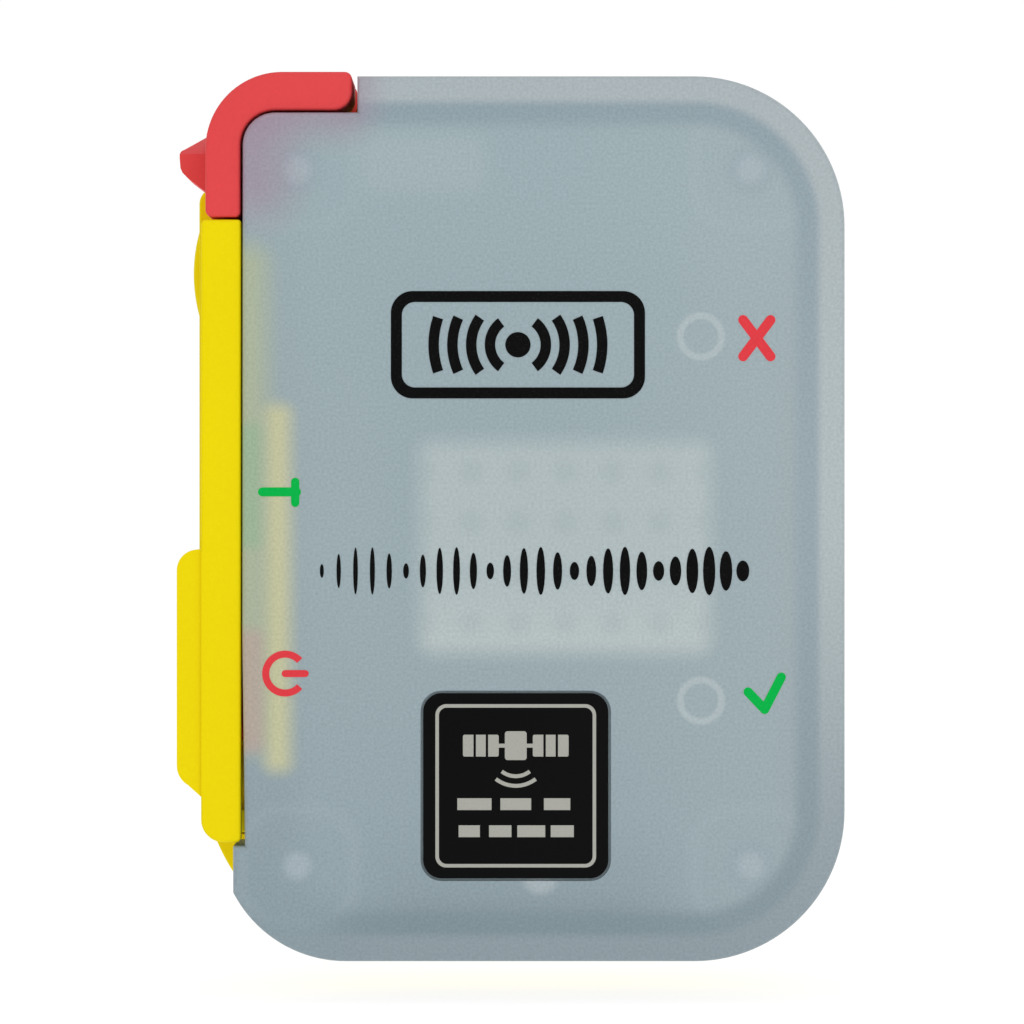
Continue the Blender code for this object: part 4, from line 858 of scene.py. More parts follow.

    # Painted shade and light round the rim: a painted shadow band just inside the cover's wall and, outside it,
    # the lighter solid rim. Each is painted lighter at the top than at the bottom, and both are weakened towards
    # the left.
    outline = soft(((LEFT_FACE - 14.0 + RIGHT) / 2, 0.0, TOP / 2),
                   ((RIGHT - LEFT_FACE + 14.0) / 2, 1.0, TOP / 2), 17.2, 1.0)["Distance"]
    low_fade = node(tree, "ShaderNodeMapRange", {"clamp": True, "interpolation_type": "SMOOTHSTEP"},
                    {"Value": across, "From Min": -25.0, "From Max": -14.0, "To Min": 0.25}).outputs[0]
    for inset, blur, names in ((-5.6, 2.0, (colours.band_low, colours.band_middle, colours.band_high)),
                               (-3.0, 1.4, (colours.edge_low, colours.edge_middle, colours.edge_high))):
        rim = node(tree, "ShaderNodeMapRange", {"clamp": True, "interpolation_type": "SMOOTHSTEP"},
                   {"Value": outline, "From Min": inset - blur / 2, "From Max": inset + blur / 2}).outputs[0]
        ramp = shade(up, 0.0, TOP, list(zip((0.0, 0.55, 1.0), names)))
        base = blend_colour(tree, math_node(tree, "MULTIPLY", math_node(tree, "MULTIPLY", rim, 0.75),
                                            low_fade), base, ramp)
    near = node(tree, "ShaderNodeMapRange", {"clamp": True}, {
        "Value": parts.outputs["Y"], "From Min": FRONT + 1.0, "From Max": FRONT + 4.0, "To Min": 1.0,
        "To Max": 0.0})
    # The first three entries tint the cover's front yellow, red and green beside the guard and the two buttons.
    # The last two are painted shadow with a red cast, on the cover beside the latch's inner edge.
    for centre, size, radius, blur, rgb, strength in (
            ((GUARD_RIGHT, 0, 53.0), (3.0, 1.0, 29.0), 2.5, 4.5, (184, 188, 128), 0.5),
            ((GUARD_RIGHT, 0, 31.0), (2.6, 1.0, 7.0), 1.2, 2.2, (186, 150, 150), 0.5),
            ((GUARD_RIGHT, 0, 54.5), (2.4, 1.0, 7.2), 1.2, 2.2, (130, 176, 140), 0.45),
            ((LATCH_LEFT + 4.0, 0, 96.5), (5.4, 1.0, 11.0), 4.0, 8.5, (158, 128, 150), 0.62),
            ((-25.0, 0, LATCH_HIGH[2]), (9.0, 1.0, 7.4), 4.0, 6.0, (156, 132, 150), 0.62)):
        tint = math_node(tree, "MULTIPLY", soft(centre, size, radius, blur)["Mask"], near.outputs[0])
        base = layer(base, tint, rgb, strength)
    grain(tree, place, base, shader, {"Rough": 0.46, "Rough Change": 0.08, "Grain Scale": 3000.0,
                                      "Grain Tone": 0.5, "Cloud Scale": 38.0, "Cloud Tone": 0.06}, 0.14)
    return made


MATERIALS = {}


def build_materials(colours):
    """Every finish, kept by name. Most are made once here and shared."""
    made = MATERIALS
    made["yellow"] = moulded("yellow_case_finish", colours.yellow, 0.48, 0.22, shine=0.07,
                             **{"Grain Tone": 0.07})
    made["red"] = moulded("red_latch_finish", colours.red, 0.5, 0.22, shine=0.16, **{"Grain Tone": 0.1})
    made["green"] = moulded("green_button_finish", colours.green, 0.5, 0.22)
    made["frosted"] = frosted_material(colours)
    made["rubber"] = moulded("black_rubber_finish", linear((32, 32, 33)), 0.75, 0.4, 0.3)
    made["black"] = moulded("black_plastic_finish", linear((24, 24, 25)), 0.55, 0.3, 0.3)
    made["tape"] = moulded("spring_tape_finish", linear((30, 31, 33)), 0.34, 0.12, 0.5, **{"Grain Tone": 0.1})
    made["steel"] = sheet_metal("steel_finish", linear((190, 192, 194)), 0.3)
    made["tinned"] = sheet_metal("tinned_can_finish", linear((214, 217, 218)), 0.38, 120.0)
    made["film"] = moulded("black_label_finish", linear((9, 9, 10)), 0.42, 0.15, 0.1, 0.05,
                           **{"Grain Tone": 0.3})
    made["pale_film"] = moulded("pale_label_finish", linear((226, 228, 226)), 0.4, 0.1, 0.1)
    made["board"] = board_material(linear((18, 96, 60)))
    made["ceramic"] = moulded("ceramic_finish", linear((196, 178, 140)), 0.7, 0.5, 0.1,
                              **{"Cloud Tone": 0.15})
    made["pale_yellow"] = moulded("pale_rail_finish", linear((222, 217, 140)), 0.5, 0.2)
    made["milky"] = moulded("light_tube_finish", linear((232, 238, 238)), 0.25, 0.05, 0.05)
    made["lens"] = moulded("lamp_lens_finish", linear((240, 240, 222)), 0.15, 0.05, 0.05)
    made["sleeve"] = moulded("cell_sleeve_finish", linear((46, 62, 84)), 0.25, 0.1, 0.4)
    made["ink_black"] = printed("black_ink", colours.ink_black)
    made["ink_red"] = printed("red_ink", colours.ink_red)
    made["ink_green"] = printed("green_ink", colours.ink_green)
    made["ink_grey"] = printed("grey_ink", colours.ink_grey, 0.5, 0.2)


# ---------------------------------------------------------------- Geometry Nodes

class Nodes:
    """A geometry tree with named inputs, which ends in Realize Instances and Set Material."""

    def __init__(self, name, inputs):
        self.tree = bpy.data.node_groups.new(name, "GeometryNodeTree")
        self.sockets = {}
        self.tree.interface.new_socket("Geometry", in_out="INPUT", socket_type="NodeSocketGeometry")
        for label, kind, default in inputs:
            socket = self.tree.interface.new_socket(label, in_out="INPUT", socket_type=kind)
            if default is not None:
                socket.default_value = default
            self.sockets[label] = socket.identifier
        material = self.tree.interface.new_socket("Finish", in_out="INPUT", socket_type="NodeSocketMaterial")
        self.sockets["Finish"] = material.identifier
        self.tree.interface.new_socket("Geometry", in_out="OUTPUT", socket_type="NodeSocketGeometry")
        self.given = self.tree.nodes.new("NodeGroupInput").outputs
        self.end = self.tree.nodes.new("NodeGroupOutput")

    def add(self, kind, settings=None, values=None):
        return node(self.tree, kind, settings, values)

    def close(self, geometry):
        """End the tree."""
        real = self.add("GeometryNodeRealizeInstances", None, {0: geometry})
        smooth = self.add("GeometryNodeSetShadeSmooth", None, {0: real.outputs[0], "Shade Smooth": False})
        finish = self.add("GeometryNodeSetMaterial", None,
                          {0: smooth.outputs[0], "Material": self.given["Finish"]})
        self.tree.links.new(finish.outputs[0], self.end.inputs[0])

    def build(self, name, finish, values, mesh=None):
        """Run the tree with these inputs and leave a plain mesh."""
        item = bpy.data.objects.new(name, mesh or bpy.data.meshes.new(name))
        bpy.context.collection.objects.link(item)
        change = item.modifiers.new("nodes", "NODES")
        change.node_group = self.tree
        for label, value in {"Finish": finish, **values}.items():
            change[self.sockets[label]] = value
        settle(item)
        return item


TREES = {}


def tape_tree():
    """One straight stretch of the aerial's tape, bowed across its width like a steel rule."""
    made = Nodes("tape_stretch", [
        ("Length", "NodeSocketFloat", 0.01), ("Width", "NodeSocketFloat", 0.0046),
        ("Thickness", "NodeSocketFloat", 0.0003), ("Crown", "NodeSocketFloat", 0.0002),
        ("Place", "NodeSocketVector", None), ("Turn", "NodeSocketFloat", 0.0)])
    given = made.given
    size = made.add("ShaderNodeCombineXYZ", None,
                    {"X": given["Length"], "Y": given["Width"], "Z": given["Thickness"]})
    strip = made.add("GeometryNodeMeshCube", None,
                     {"Size": size.outputs[0], "Vertices X": 14, "Vertices Y": 13})
    parts = made.add("ShaderNodeSeparateXYZ", None, {0: made.add("GeometryNodeInputPosition").outputs[0]})
    share = math_node(made.tree, "DIVIDE", parts.outputs["Y"],
                      math_node(made.tree, "MULTIPLY", given["Width"], 0.5))
    bow = math_node(made.tree, "MULTIPLY", math_node(made.tree, "POWER", share, 2.0), given["Crown"])
    down = made.add("ShaderNodeCombineXYZ", None, {"Z": math_node(made.tree, "MULTIPLY", bow, -1.0)})
    bowed = made.add("GeometryNodeSetPosition", None, {0: strip.outputs[0], "Offset": down.outputs[0]})
    turn = made.add("ShaderNodeCombineXYZ", None, {"Y": given["Turn"]})
    laid = made.add("GeometryNodeTransform", None, {0: bowed.outputs[0], "Translation": given["Place"],
                                                   "Rotation": turn.outputs[0]})
    made.close(laid.outputs[0])
    return made


def pill_row_tree():
    """A row of printed bars whose height swells and whose stroke grows along the row."""
    made = Nodes("fading_bars", [
        ("Count", "NodeSocketInt", 26), ("Start", "NodeSocketVector", None),
        ("Step", "NodeSocketVector", None),
        ("Thin", "NodeSocketFloat", 0.0003), ("Thick", "NodeSocketFloat", 0.001),
        ("Height", "NodeSocketFloat", 0.004), ("Swell", "NodeSocketFloat", 0.9),
        ("Depth", "NodeSocketFloat", 0.00004)])
    given = made.given
    row = made.add("GeometryNodeMeshLine", None, {"Count": given["Count"], "Start Location": given["Start"],
                                                 "Offset": given["Step"]})
    bar = made.add("GeometryNodeMeshCylinder", {"fill_type": "NGON"},
                   {"Vertices": 20, "Radius": 0.5, "Depth": 1.0})
    upright = made.add("GeometryNodeTransform", None,
                       {0: bar.outputs["Mesh"], "Rotation": (math.pi / 2, 0.0, 0.0)})
    index = made.add("GeometryNodeInputIndex").outputs[0]
    last = math_node(made.tree, "SUBTRACT", given["Count"], 1.0)
    share = math_node(made.tree, "DIVIDE", index, last)
    grown = math_node(made.tree, "MULTIPLY", math_node(made.tree, "SUBTRACT", given["Thick"], given["Thin"]),
                      share)
    wide = math_node(made.tree, "ADD", grown, given["Thin"])
    wave = math_node(made.tree, "ABSOLUTE", math_node(made.tree, "SINE", math_node(
        made.tree, "MULTIPLY", index, given["Swell"])))
    tall = math_node(made.tree, "MULTIPLY", given["Height"], math_node(
        made.tree, "ADD", math_node(made.tree, "MULTIPLY", wave, 0.72), 0.28))
    size = made.add("ShaderNodeCombineXYZ", None, {"X": wide, "Y": given["Depth"], "Z": tall})
    placed = made.add("GeometryNodeInstanceOnPoints", None,
                      {"Points": row.outputs[0], "Instance": upright.outputs[0],
                                                            "Scale": size.outputs[0]})
    made.close(placed.outputs[0])
    return made


def text_bar_tree():
    """A row of short printed bars of uneven length, standing for a line of small print."""
    made = Nodes("print_bars", [
        ("Count", "NodeSocketInt", 4), ("Start", "NodeSocketVector", None),
        ("Step", "NodeSocketVector", None),
        ("Shortest", "NodeSocketFloat", 0.001), ("Longest", "NodeSocketFloat", 0.003),
        ("Height", "NodeSocketFloat", 0.001), ("Depth", "NodeSocketFloat", 0.00004),
        ("Seed", "NodeSocketInt", 7)])
    given = made.given
    row = made.add("GeometryNodeMeshLine", None, {"Count": given["Count"], "Start Location": given["Start"],
                                                 "Offset": given["Step"]})
    bar = made.add("GeometryNodeMeshCube", None, {"Size": (1.0, 1.0, 1.0)})
    uneven = made.add("FunctionNodeRandomValue", {"data_type": "FLOAT"}, {
        2: given["Shortest"], 3: given["Longest"], "Seed": given["Seed"]})
    size = made.add("ShaderNodeCombineXYZ", None,
                    {"X": uneven.outputs[1], "Y": given["Depth"], "Z": given["Height"]})
    placed = made.add("GeometryNodeInstanceOnPoints", None,
                      {"Points": row.outputs[0], "Instance": bar.outputs[0],
                                                            "Scale": size.outputs[0]})
    made.close(placed.outputs[0])
    return made


def coil_tree():
    """A coil spring of round wire that lies along X."""
    made = Nodes("coil_spring", [
        ("Turns", "NodeSocketFloat", 3.0), ("Radius", "NodeSocketFloat", 0.002),
        ("Wire", "NodeSocketFloat", 0.0002),
        ("Length", "NodeSocketFloat", 0.004), ("Start", "NodeSocketVector", None)])
    given = made.given
    path = made.add("GeometryNodeCurveSpiral", None, {
        "Resolution": 32, "Rotations": given["Turns"], "Start Radius": given["Radius"],
        "End Radius": given["Radius"], "Height": given["Length"]})
    section = made.add("GeometryNodeCurvePrimitiveCircle", None, {"Resolution": 10, "Radius": given["Wire"]})
    wire = made.add("GeometryNodeCurveToMesh", None,
                    {"Curve": path.outputs[0], "Profile Curve": section.outputs[0],
                                                     "Fill Caps": True})
    laid = made.add("GeometryNodeTransform", None, {0: wire.outputs[0], "Translation": given["Start"],
                                                   "Rotation": (0.0, math.pi / 2, 0.0)})
    made.close(laid.outputs[0])
    return made


def copies_tree():
    """Copies of one shape at each point of the piece's own mesh."""
    made = Nodes("shape_copies", [("Shape", "NodeSocketObject", None)])
    given = made.given
    info = made.add("GeometryNodeObjectInfo", {"transform_space": "ORIGINAL"}, {"Object": given["Shape"]})
    placed = made.add("GeometryNodeInstanceOnPoints", None, {"Points": given["Geometry"],
                                                            "Instance": info.outputs["Geometry"]})
    made.close(placed.outputs[0])
    return made


def geometry_tree(name):
    """A shared geometry tree, built the first time that it is asked for."""
    makers = {"tape": tape_tree, "pills": pill_row_tree, "print": text_bar_tree, "copies": copies_tree,
              "coil": coil_tree}
    if name not in TREES:
        TREES[name] = makers[name]()
    return TREES[name]


def points_mesh(name, places):
    """A mesh of loose points, given in millimetres."""
    mesh = bpy.data.meshes.new(name)
    mesh.from_pydata([[value * MM for value in place] for place in places], [], [])
    return mesh


# ---------------------------------------------------------------- operators

class BEACON_OT_materials(bpy.types.Operator):
    """Make every finish"""
    bl_idname = "beacon.materials"
    bl_label = "Finishes"

    def execute(self, context):
        build_materials(context.scene.beacon_colours)
        return {"FINISHED"}


class BEACON_OT_cover(bpy.types.Operator):
    """Make the frosted front cover as a shell with rounded rims and a seat for its label"""
    bl_idname = "beacon.cover"
    bl_label = "Front Cover"

    def execute(self, context):
        sizes = context.scene.beacon_shells
        corner, wall = sizes.corner / MM, sizes.cover_wall / MM
        cover = slab("frosted_cover", cover_outline(corner), FRONT, COVER_REAR,
                     sizes.front_round / MM, sizes.rim_round / MM, 7)
        width = LABEL_HIGH[0] - LABEL_LOW[0] + 2 * GAP
        height = LABEL_HIGH[2] - LABEL_LOW[2] + 2 * GAP
        seat = centred(middle("front_label")[0], middle("front_label")[2], width, height, 2.4)
        changes = [("DIFFERENCE", slab("hollow", cover_hollow(corner, wall), FRONT + COVER_FACE_WALL,
                                       COVER_REAR - COVER_RIM)),
                   ("DIFFERENCE", slab("seat", seat, FRONT - 5.0, FRONT + LABEL_SINK))]
        places = [(middle(name)[0], middle(name)[2]) for name in SCREW_NODES]
        changes += [("UNION", drill("boss", 3.0, (x, FRONT + 1.7, z), (x, COVER_REAR - 1.5, z)))
                    for x, z in places]
        changes.append(("DIFFERENCE", slab("mouth", seal_outline(0.0), FRONT + MOUTH_DEPTH, FAR)))
        changes += [("DIFFERENCE", drill("hole", SCREW_HOLE, (x, FRONT + 4.2, z), (x, FAR, z)))
                    for x, z in places]
        shape(cover, changes)
        soften(cover, 0.0)
        dress(cover, MATERIALS["frosted"], "case", "frosted_plastic", "front_cover")
        return {"FINISHED"}


class BEACON_OT_rear_case(bpy.types.Operator):
    """Make the yellow rear case with its channel, button bay, side rail and screw wells"""
    bl_idname = "beacon.rear_case"
    bl_label = "Rear Case"

    def execute(self, context):
        sizes = context.scene.beacon_shells
        corner, case_corner = sizes.corner / MM, sizes.case_corner / MM
        right, top = RIGHT - 0.9, TOP - 0.55
        case = slab("yellow_case", rounded(CASE_LEFT, right, 0.0, top, case_corner, 26), CHANNEL_REAR, BACK,
                    sizes.rim_round / MM, sizes.back_round / MM, 8)
        groove = slab("groove", seal_outline(SEAL_OUTER), -FAR, CASE_FRONT + SEAL_DEPTH)
        shape(groove, [("DIFFERENCE", slab("core", seal_outline(SEAL_INNER), -2 * FAR, FAR))])
        changes = [
            ("UNION", slab("rail", rail_outline(), BAY_REAR + 0.2, BAY_REAR + RAIL_DEPTH, 0.3, 0.8, 4)),
            ("UNION", slab("thumb", thumb_outline(), BAY_REAR + 0.8, BAY_REAR + 6.8, 0.6, 0.6, 4)),
            ("UNION", slab("upstand", upstand_outline(corner), CASE_FRONT, CHANNEL_REAR + 1.0)),
            ("DIFFERENCE", block("bay", (-FAR, -FAR, BAY_BOTTOM), (BAY_FLOOR, BAY_REAR, 2 * FAR))),
            ("DIFFERENCE",
             block("latch_bay", (-FAR, -FAR, LEDGE_Z - GAP), (NOTCH_X + GAP, BAY_REAR, 2 * FAR))),
            ("DIFFERENCE", slab("chamber", seal_outline(0.0), -FAR, BACK - CASE_FLOOR)),
            ("DIFFERENCE", groove),
        ]
        for name in SCREW_NODES:
            x, _, z = middle(name)
            head = box_mm(name)[1][1] - 2.0
            changes.append(("DIFFERENCE", drill("hole", SCREW_HOLE, (x, -FAR, z), (x, FAR, z), 20)))
            changes.append(("DIFFERENCE", drill("head", SCREW_WELL, (x, head, z), (x, FAR, z), 32)))
        for button in ("test_button", "activate_button"):
            low, high = box_mm(button)
            _, y, z = middle(button)
            changes.append(("DIFFERENCE", block("well", (-FAR, low[1] - GAP, low[2] - GAP),
                                                (WELL_FLOOR, high[1] + GAP, high[2] + GAP))))
            changes.append(("DIFFERENCE", drill("stem_hole", STEM_HOLE, (-FAR, y, z), (-15.0, y, z), 24)))
        for name in ("board_screw_1", "board_screw_2"):
            x, _, z = middle(name)
            rear = box_mm("circuit_board")[1][1] + GAP
            changes.append(("UNION", drill("post", BOARD_POST, (x, rear, z), (x, BACK - 1.0, z), 28)))
            changes.append(("DIFFERENCE",
                            drill("post_hole", POST_HOLE, (x, -FAR, z),
                                  (x, box_mm(name)[1][1] + 2.0, z), 20)))
        seat = rounded(REAR_LABEL_LOW[0] - GAP, REAR_LABEL_HIGH[0] + GAP,
                       REAR_LABEL_LOW[2] - GAP, REAR_LABEL_HIGH[2] + GAP, 3.0, 10)
        changes.append(("DIFFERENCE", slab("seat", seat, BACK - LABEL_SINK, FAR)))
        changes += self.lugs()
        shape(case, changes)
        soften(case, 0.0)
        dress(case, MATERIALS["yellow"], "case", "yellow_plastic", "rear_case")
        return {"FINISHED"}

    def lugs(self):
        """The two lugs that carry the guard's pin and the latch's pin."""
        x, z = GUARD_PIVOT
        arm = [(BAY_FLOOR + 1.0, z - 1.0), (BAY_FLOOR + 1.0, z + 1.2)] + arc(x, z, 1.5, 80, 280, 20)
        low = [("UNION", slab("guard_lug", arm, *LUG_SPAN, 0.3, 0.3, 3)),
               ("DIFFERENCE", drill("hole", PIN_HOLE, (x, -9.0, z), (x, 4.0, z)))]
        x, z = LATCH_PIVOT
        arm = [(x - 1.5, LEDGE_Z - GAP - 1.0), (x + 1.5, LEDGE_Z - GAP - 1.0)] + arc(x, z, 1.5, 0, 180, 20)
        return low + [("UNION", slab("latch_lug", arm, *LATCH_LUG_SPAN)),
                      ("DIFFERENCE", drill("hole", PIN_HOLE, (x, -9.0, z), (x, -1.5, z)))]


class BEACON_OT_guard(bpy.types.Operator):
    """Make the yellow side guard: a long channel with a hump over the lower button"""
    bl_idname = "beacon.guard"
    bl_label = "Side Guard"

    def execute(self, context):
        edge = context.scene.beacon_moving.guard_round / MM
        front, back = GUARD_LOW[1], GUARD_HIGH[1]
        inside_front, inside_back = front + GUARD_LEG, back - 1.5
        web = GUARD_LEFT + GUARD_WALL
        guard = slab("button_guard", guard_outline(), front, back, edge, edge, 5)
        x, z = GUARD_PIVOT
        changes = [
            ("DIFFERENCE",
             block("hollow", (web, inside_front, -FAR), (FAR, inside_back, GUARD_HIGH[2] - GUARD_WALL))),
            ("DIFFERENCE", block("fork", (-FAR, inside_front, -FAR), (FAR, inside_back, z + 3.1))),
            ("DIFFERENCE", block("hump_hollow", (GUARD_LOW[0] + GUARD_WALL, inside_front, HUMP_LOW + 2.2),
                                 (web + 1.0, inside_back, HUMP_HIGH - 1.6))),
            ("DIFFERENCE", drill("pin_hole", PIN_HOLE, (x, GUARD_PIN_LOW[1] - 0.2, z), (x, FAR, z))),
            ("DIFFERENCE", block("step", (GUARD_LOW[0] - 1.0, front - 1.0, HUMP_LOW - 3.0),
                                 (GUARD_LEFT + 0.05, front + 0.45, HUMP_HIGH + 1.0))),
        ]
        shape(guard, changes)
        soften(guard, 0.0)
        dress(guard, MATERIALS["yellow"], "side_guard", "yellow_plastic", "side_guard")
        return {"FINISHED"}


class BEACON_OT_latch(bpy.types.Operator):
    """Make the red corner latch with its pull knob"""
    bl_idname = "beacon.latch"
    bl_label = "Corner Latch"

    def execute(self, context):
        edge = context.scene.beacon_moving.latch_round / MM
        x, z = LATCH_PIVOT
        latch = slab("corner_latch", latch_outline(), LATCH_LOW[1], LATCH_HIGH[1], edge, edge, 5)
        changes = [
            ("UNION", self.knob()),
            ("DIFFERENCE", block("heel_slot", (x - 2.8, -7.9, z - 10.0), (FAR, -2.5, z + 10.0))),
            ("DIFFERENCE", drill("pin_hole", PIN_HOLE, (x, LATCH_PIN_LOW[1] - 0.2, z), (x, FAR, z))),
        ]
        shape(latch, changes)
        soften(latch, 0.0)
        dress(latch, MATERIALS["red"], "latch_cap", "red_plastic", "latch_cap")
        return {"FINISHED"}

    def knob(self):
        """The pull knob: its front slopes away above and below a ridge."""
        knob = slab("knob", knob_outline(), KNOB_FRONT, KNOB_REAR, 0.35, 0.7, 4)
        ridge = (KNOB_BOTTOM + KNOB_TOP) / 2 + 0.9
        changes = []
        for edge in (KNOB_TOP + 0.4, KNOB_BOTTOM - 0.4):
            slope = [(KNOB_FRONT, ridge), (KNOB_FRONT + 4.6, edge), (KNOB_FRONT - 3.0, edge),
                     (KNOB_FRONT - 3.0, ridge)]
            changes.append(("DIFFERENCE", side_slab("slope", slope, LATCH_LOW[0] - 2.0, LATCH_LEFT - 0.15)))
        shape(knob, changes)
        return knob


class BEACON_OT_buttons(bpy.types.Operator):
    """Make the green test button and the red activate button"""
    bl_idname = "beacon.buttons"
    bl_label = "Buttons"

    def execute(self, context):
        edge = context.scene.beacon_moving.button_round / MM
        for name, finish, slot in (("test_button", "green", "green_plastic"),
                                   ("activate_button", "red", "red_plastic")):
            low, high = box_mm(name)
            y, z = middle(name)[1], middle(name)[2]
            skirt = box_mm(name.replace("button", "spring"))[1][0] - 1.3
            outline = rounded(low[1], high[1], low[2], high[2], 2.4, 12)
            cap = side_slab(name.replace("button", "push"), outline, low[0], skirt, edge)
            roof = low[0] + 1.5
            changes = [
                ("DIFFERENCE",
                 block("hollow", (roof, low[1] + 1.2, low[2] + 1.2), (FAR, high[1] - 1.2, high[2] - 1.2))),
                ("UNION", drill("stem", 1.2, (low[0] + 0.8, y, z), (high[0], y, z), 28)),
                ("DIFFERENCE", side_slab("dish", rounded(y - 2.2, y + 2.2, z - 5.6, z + 5.6, 2.1, 12),
                                         low[0] - 1.0, low[0] + 0.22)),
            ]
            shape(cap, changes)
            soften(cap, 0.1)
            dress(cap, MATERIALS[finish], name, slot, name)
        return {"FINISHED"}


class BEACON_OT_springs(bpy.types.Operator):
    """Make the coil spring under each button, fixed to the case"""
    bl_idname = "beacon.springs"
    bl_label = "Button Springs"

    def execute(self, context):
        for button in ("test", "activate"):
            low, high = box_mm(button + "_spring")
            _, y, z = middle(button + "_spring")
            wire = context.scene.beacon_moving.spring_wire / MM
            coil = geometry_tree("coil").build(button + "_coil", MATERIALS["steel"], {
                "Turns": 3.0, "Radius": (half(button + "_spring")[2] - wire) * MM, "Wire": wire * MM,
                "Length": (high[0] - low[0] - 2 * wire) * MM,
                "Start": ((low[0] + wire) * MM, y * MM, z * MM)})
            soften(coil, 0.0)
            dress(coil, MATERIALS["steel"], "case", "steel", button + "_spring")
            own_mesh(coil)
        return {"FINISHED"}


class BEACON_OT_aerial(bpy.types.Operator):
    """Make the aerial's tape, one stretch for each link of its chain"""
    bl_idname = "beacon.aerial"
    bl_label = "Aerial Tape"

    def execute(self, context):
        sizes = context.scene.beacon_moving
        bends = self.bends()
        width = half("aerial_run_side")[1] * 2
        tail = (box_mm("aerial_root_block")[1][0] - 1.0, bends[0][1])
        tip = (box_mm("aerial_tip")[0][0] + 1.2, bends[-1][1])
        corners = [tail] + bends + [tip]
        names = ["aerial_run_bottom", "aerial_link_1", "aerial_link_2", "aerial_link_3", "aerial_run_side",
                 "aerial_link_4", "aerial_link_5", "aerial_link_6", "aerial_run_top"]
        for name, start, end in zip(names, corners, corners[1:]):
            run = (end[0] - start[0], end[1] - start[1])
            place = ((start[0] + end[0]) / 2 * MM, middle("aerial_run_side")[1] * MM,
                     (start[1] + end[1]) / 2 * MM)
            strip = geometry_tree("tape").build(name.replace("aerial", "tape"), MATERIALS["tape"], {
                "Length": (math.hypot(*run) + 0.12) * MM, "Width": width * MM,
                "Thickness": sizes.tape_thickness,
                "Crown": sizes.tape_crown, "Place": place, "Turn": math.atan2(-run[1], run[0]) + math.pi})
            soften(strip, 0.0)
            body = "case" if name == "aerial_run_bottom" else name
            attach(strip, body)
            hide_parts(name)
        return {"FINISHED"}

    def bends(self):
        """The eight fold lines, as (x, z): four round each right-hand corner."""
        places = {}
        for joint in frame["joints"]:
            if joint["name"].startswith("aerial"):
                number = 1 if joint["name"] == "aerial_unroll" else int(joint["name"].split("_")[-1])
                x, _, z = joint["pos_m"]
                places[number] = (x / MM, z / MM)
        return [places[number] for number in sorted(places)]


class BEACON_OT_screws(bpy.types.Operator):
    """Make the four case screws as one set, with hexagon sockets"""
    bl_idname = "beacon.screws"
    bl_label = "Case Screws"

    def execute(self, context):
        low, high = box_mm(SCREW_NODES[0])
        reach = high[1] - low[1]
        profile = [(0, 0), (0.5, 0), (1.15, 1.2)]
        for turn in range(14):
            at = 1.5 + turn * 0.6
            profile += [(1.15, at), (1.0, at + 0.15), (1.0, at + 0.3), (1.15, at + 0.45)]
        profile += [(1.15, reach - 2.0), (2.2, reach - 2.0), (2.4, reach - 1.8), (2.4, reach - 0.9),
                    (2.25, reach - 0.45), (1.9, reach - 0.12), (1.5, reach), (0, reach)]
        screw = lathe("screw_shape", profile, (0.0, low[1], 0.0), (0, 1, 0), 32)
        shape(screw, [("DIFFERENCE", drill("socket", 1.25, (0, high[1] - 1.3, 0), (0, high[1] + 1.0, 0), 6))])
        soften(screw, 0.0)
        places = [(middle(name)[0], 0.0, middle(name)[2]) for name in SCREW_NODES]
        made = geometry_tree("copies").build("case_screws", MATERIALS["steel"], {"Shape": screw},
                                             points_mesh("screw_places", places))
        bpy.data.objects.remove(screw, do_unlink=True)
        soften(made, 0.0)
        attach(made, "case")
        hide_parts(*SCREW_NODES)
        return {"FINISHED"}


def rim_ring(name, outer, inner, front, back):
    """A flat printed line: an outline with a smaller one cut out of it."""
    line = slab(name, outer, front, back)
    shape(line, [("DIFFERENCE", slab("inside", inner, front - 1.0, back + 1.0))])
    return line


def capsule(start, end, width, steps=8):
    """The outline of a straight stroke with round ends."""
    angle = math.degrees(math.atan2(end[1] - start[1], end[0] - start[0]))
    points = arc(start[0], start[1], width / 2, angle + 90, angle + 270, steps)
    return points + arc(end[0], end[1], width / 2, angle - 90, angle + 90, steps)


def sector(x, z, inner, outer, start, end, steps=24):
    """The outline of a curved stroke round a centre."""
    return arc(x, z, outer, start, end, steps) + arc(x, z, inner, end, start, steps)


def merged(name, outlines, front, back):
    """Several flat outlines joined into one printed mark."""
    mark = slab(name, outlines[0], front, back)
    shape(mark, [("UNION", slab("stroke", outline, front, back)) for outline in outlines[1:]])
    return mark


def together(name, items):
    """Join separate printed pieces into one object."""
    bm = bmesh.new()
    for item in items:
        bm.from_mesh(item.data)
        bpy.data.objects.remove(item, do_unlink=True)
    bmesh.ops.scale(bm, vec=(1 / MM, 1 / MM, 1 / MM), verts=bm.verts)
    return link(name, bm)


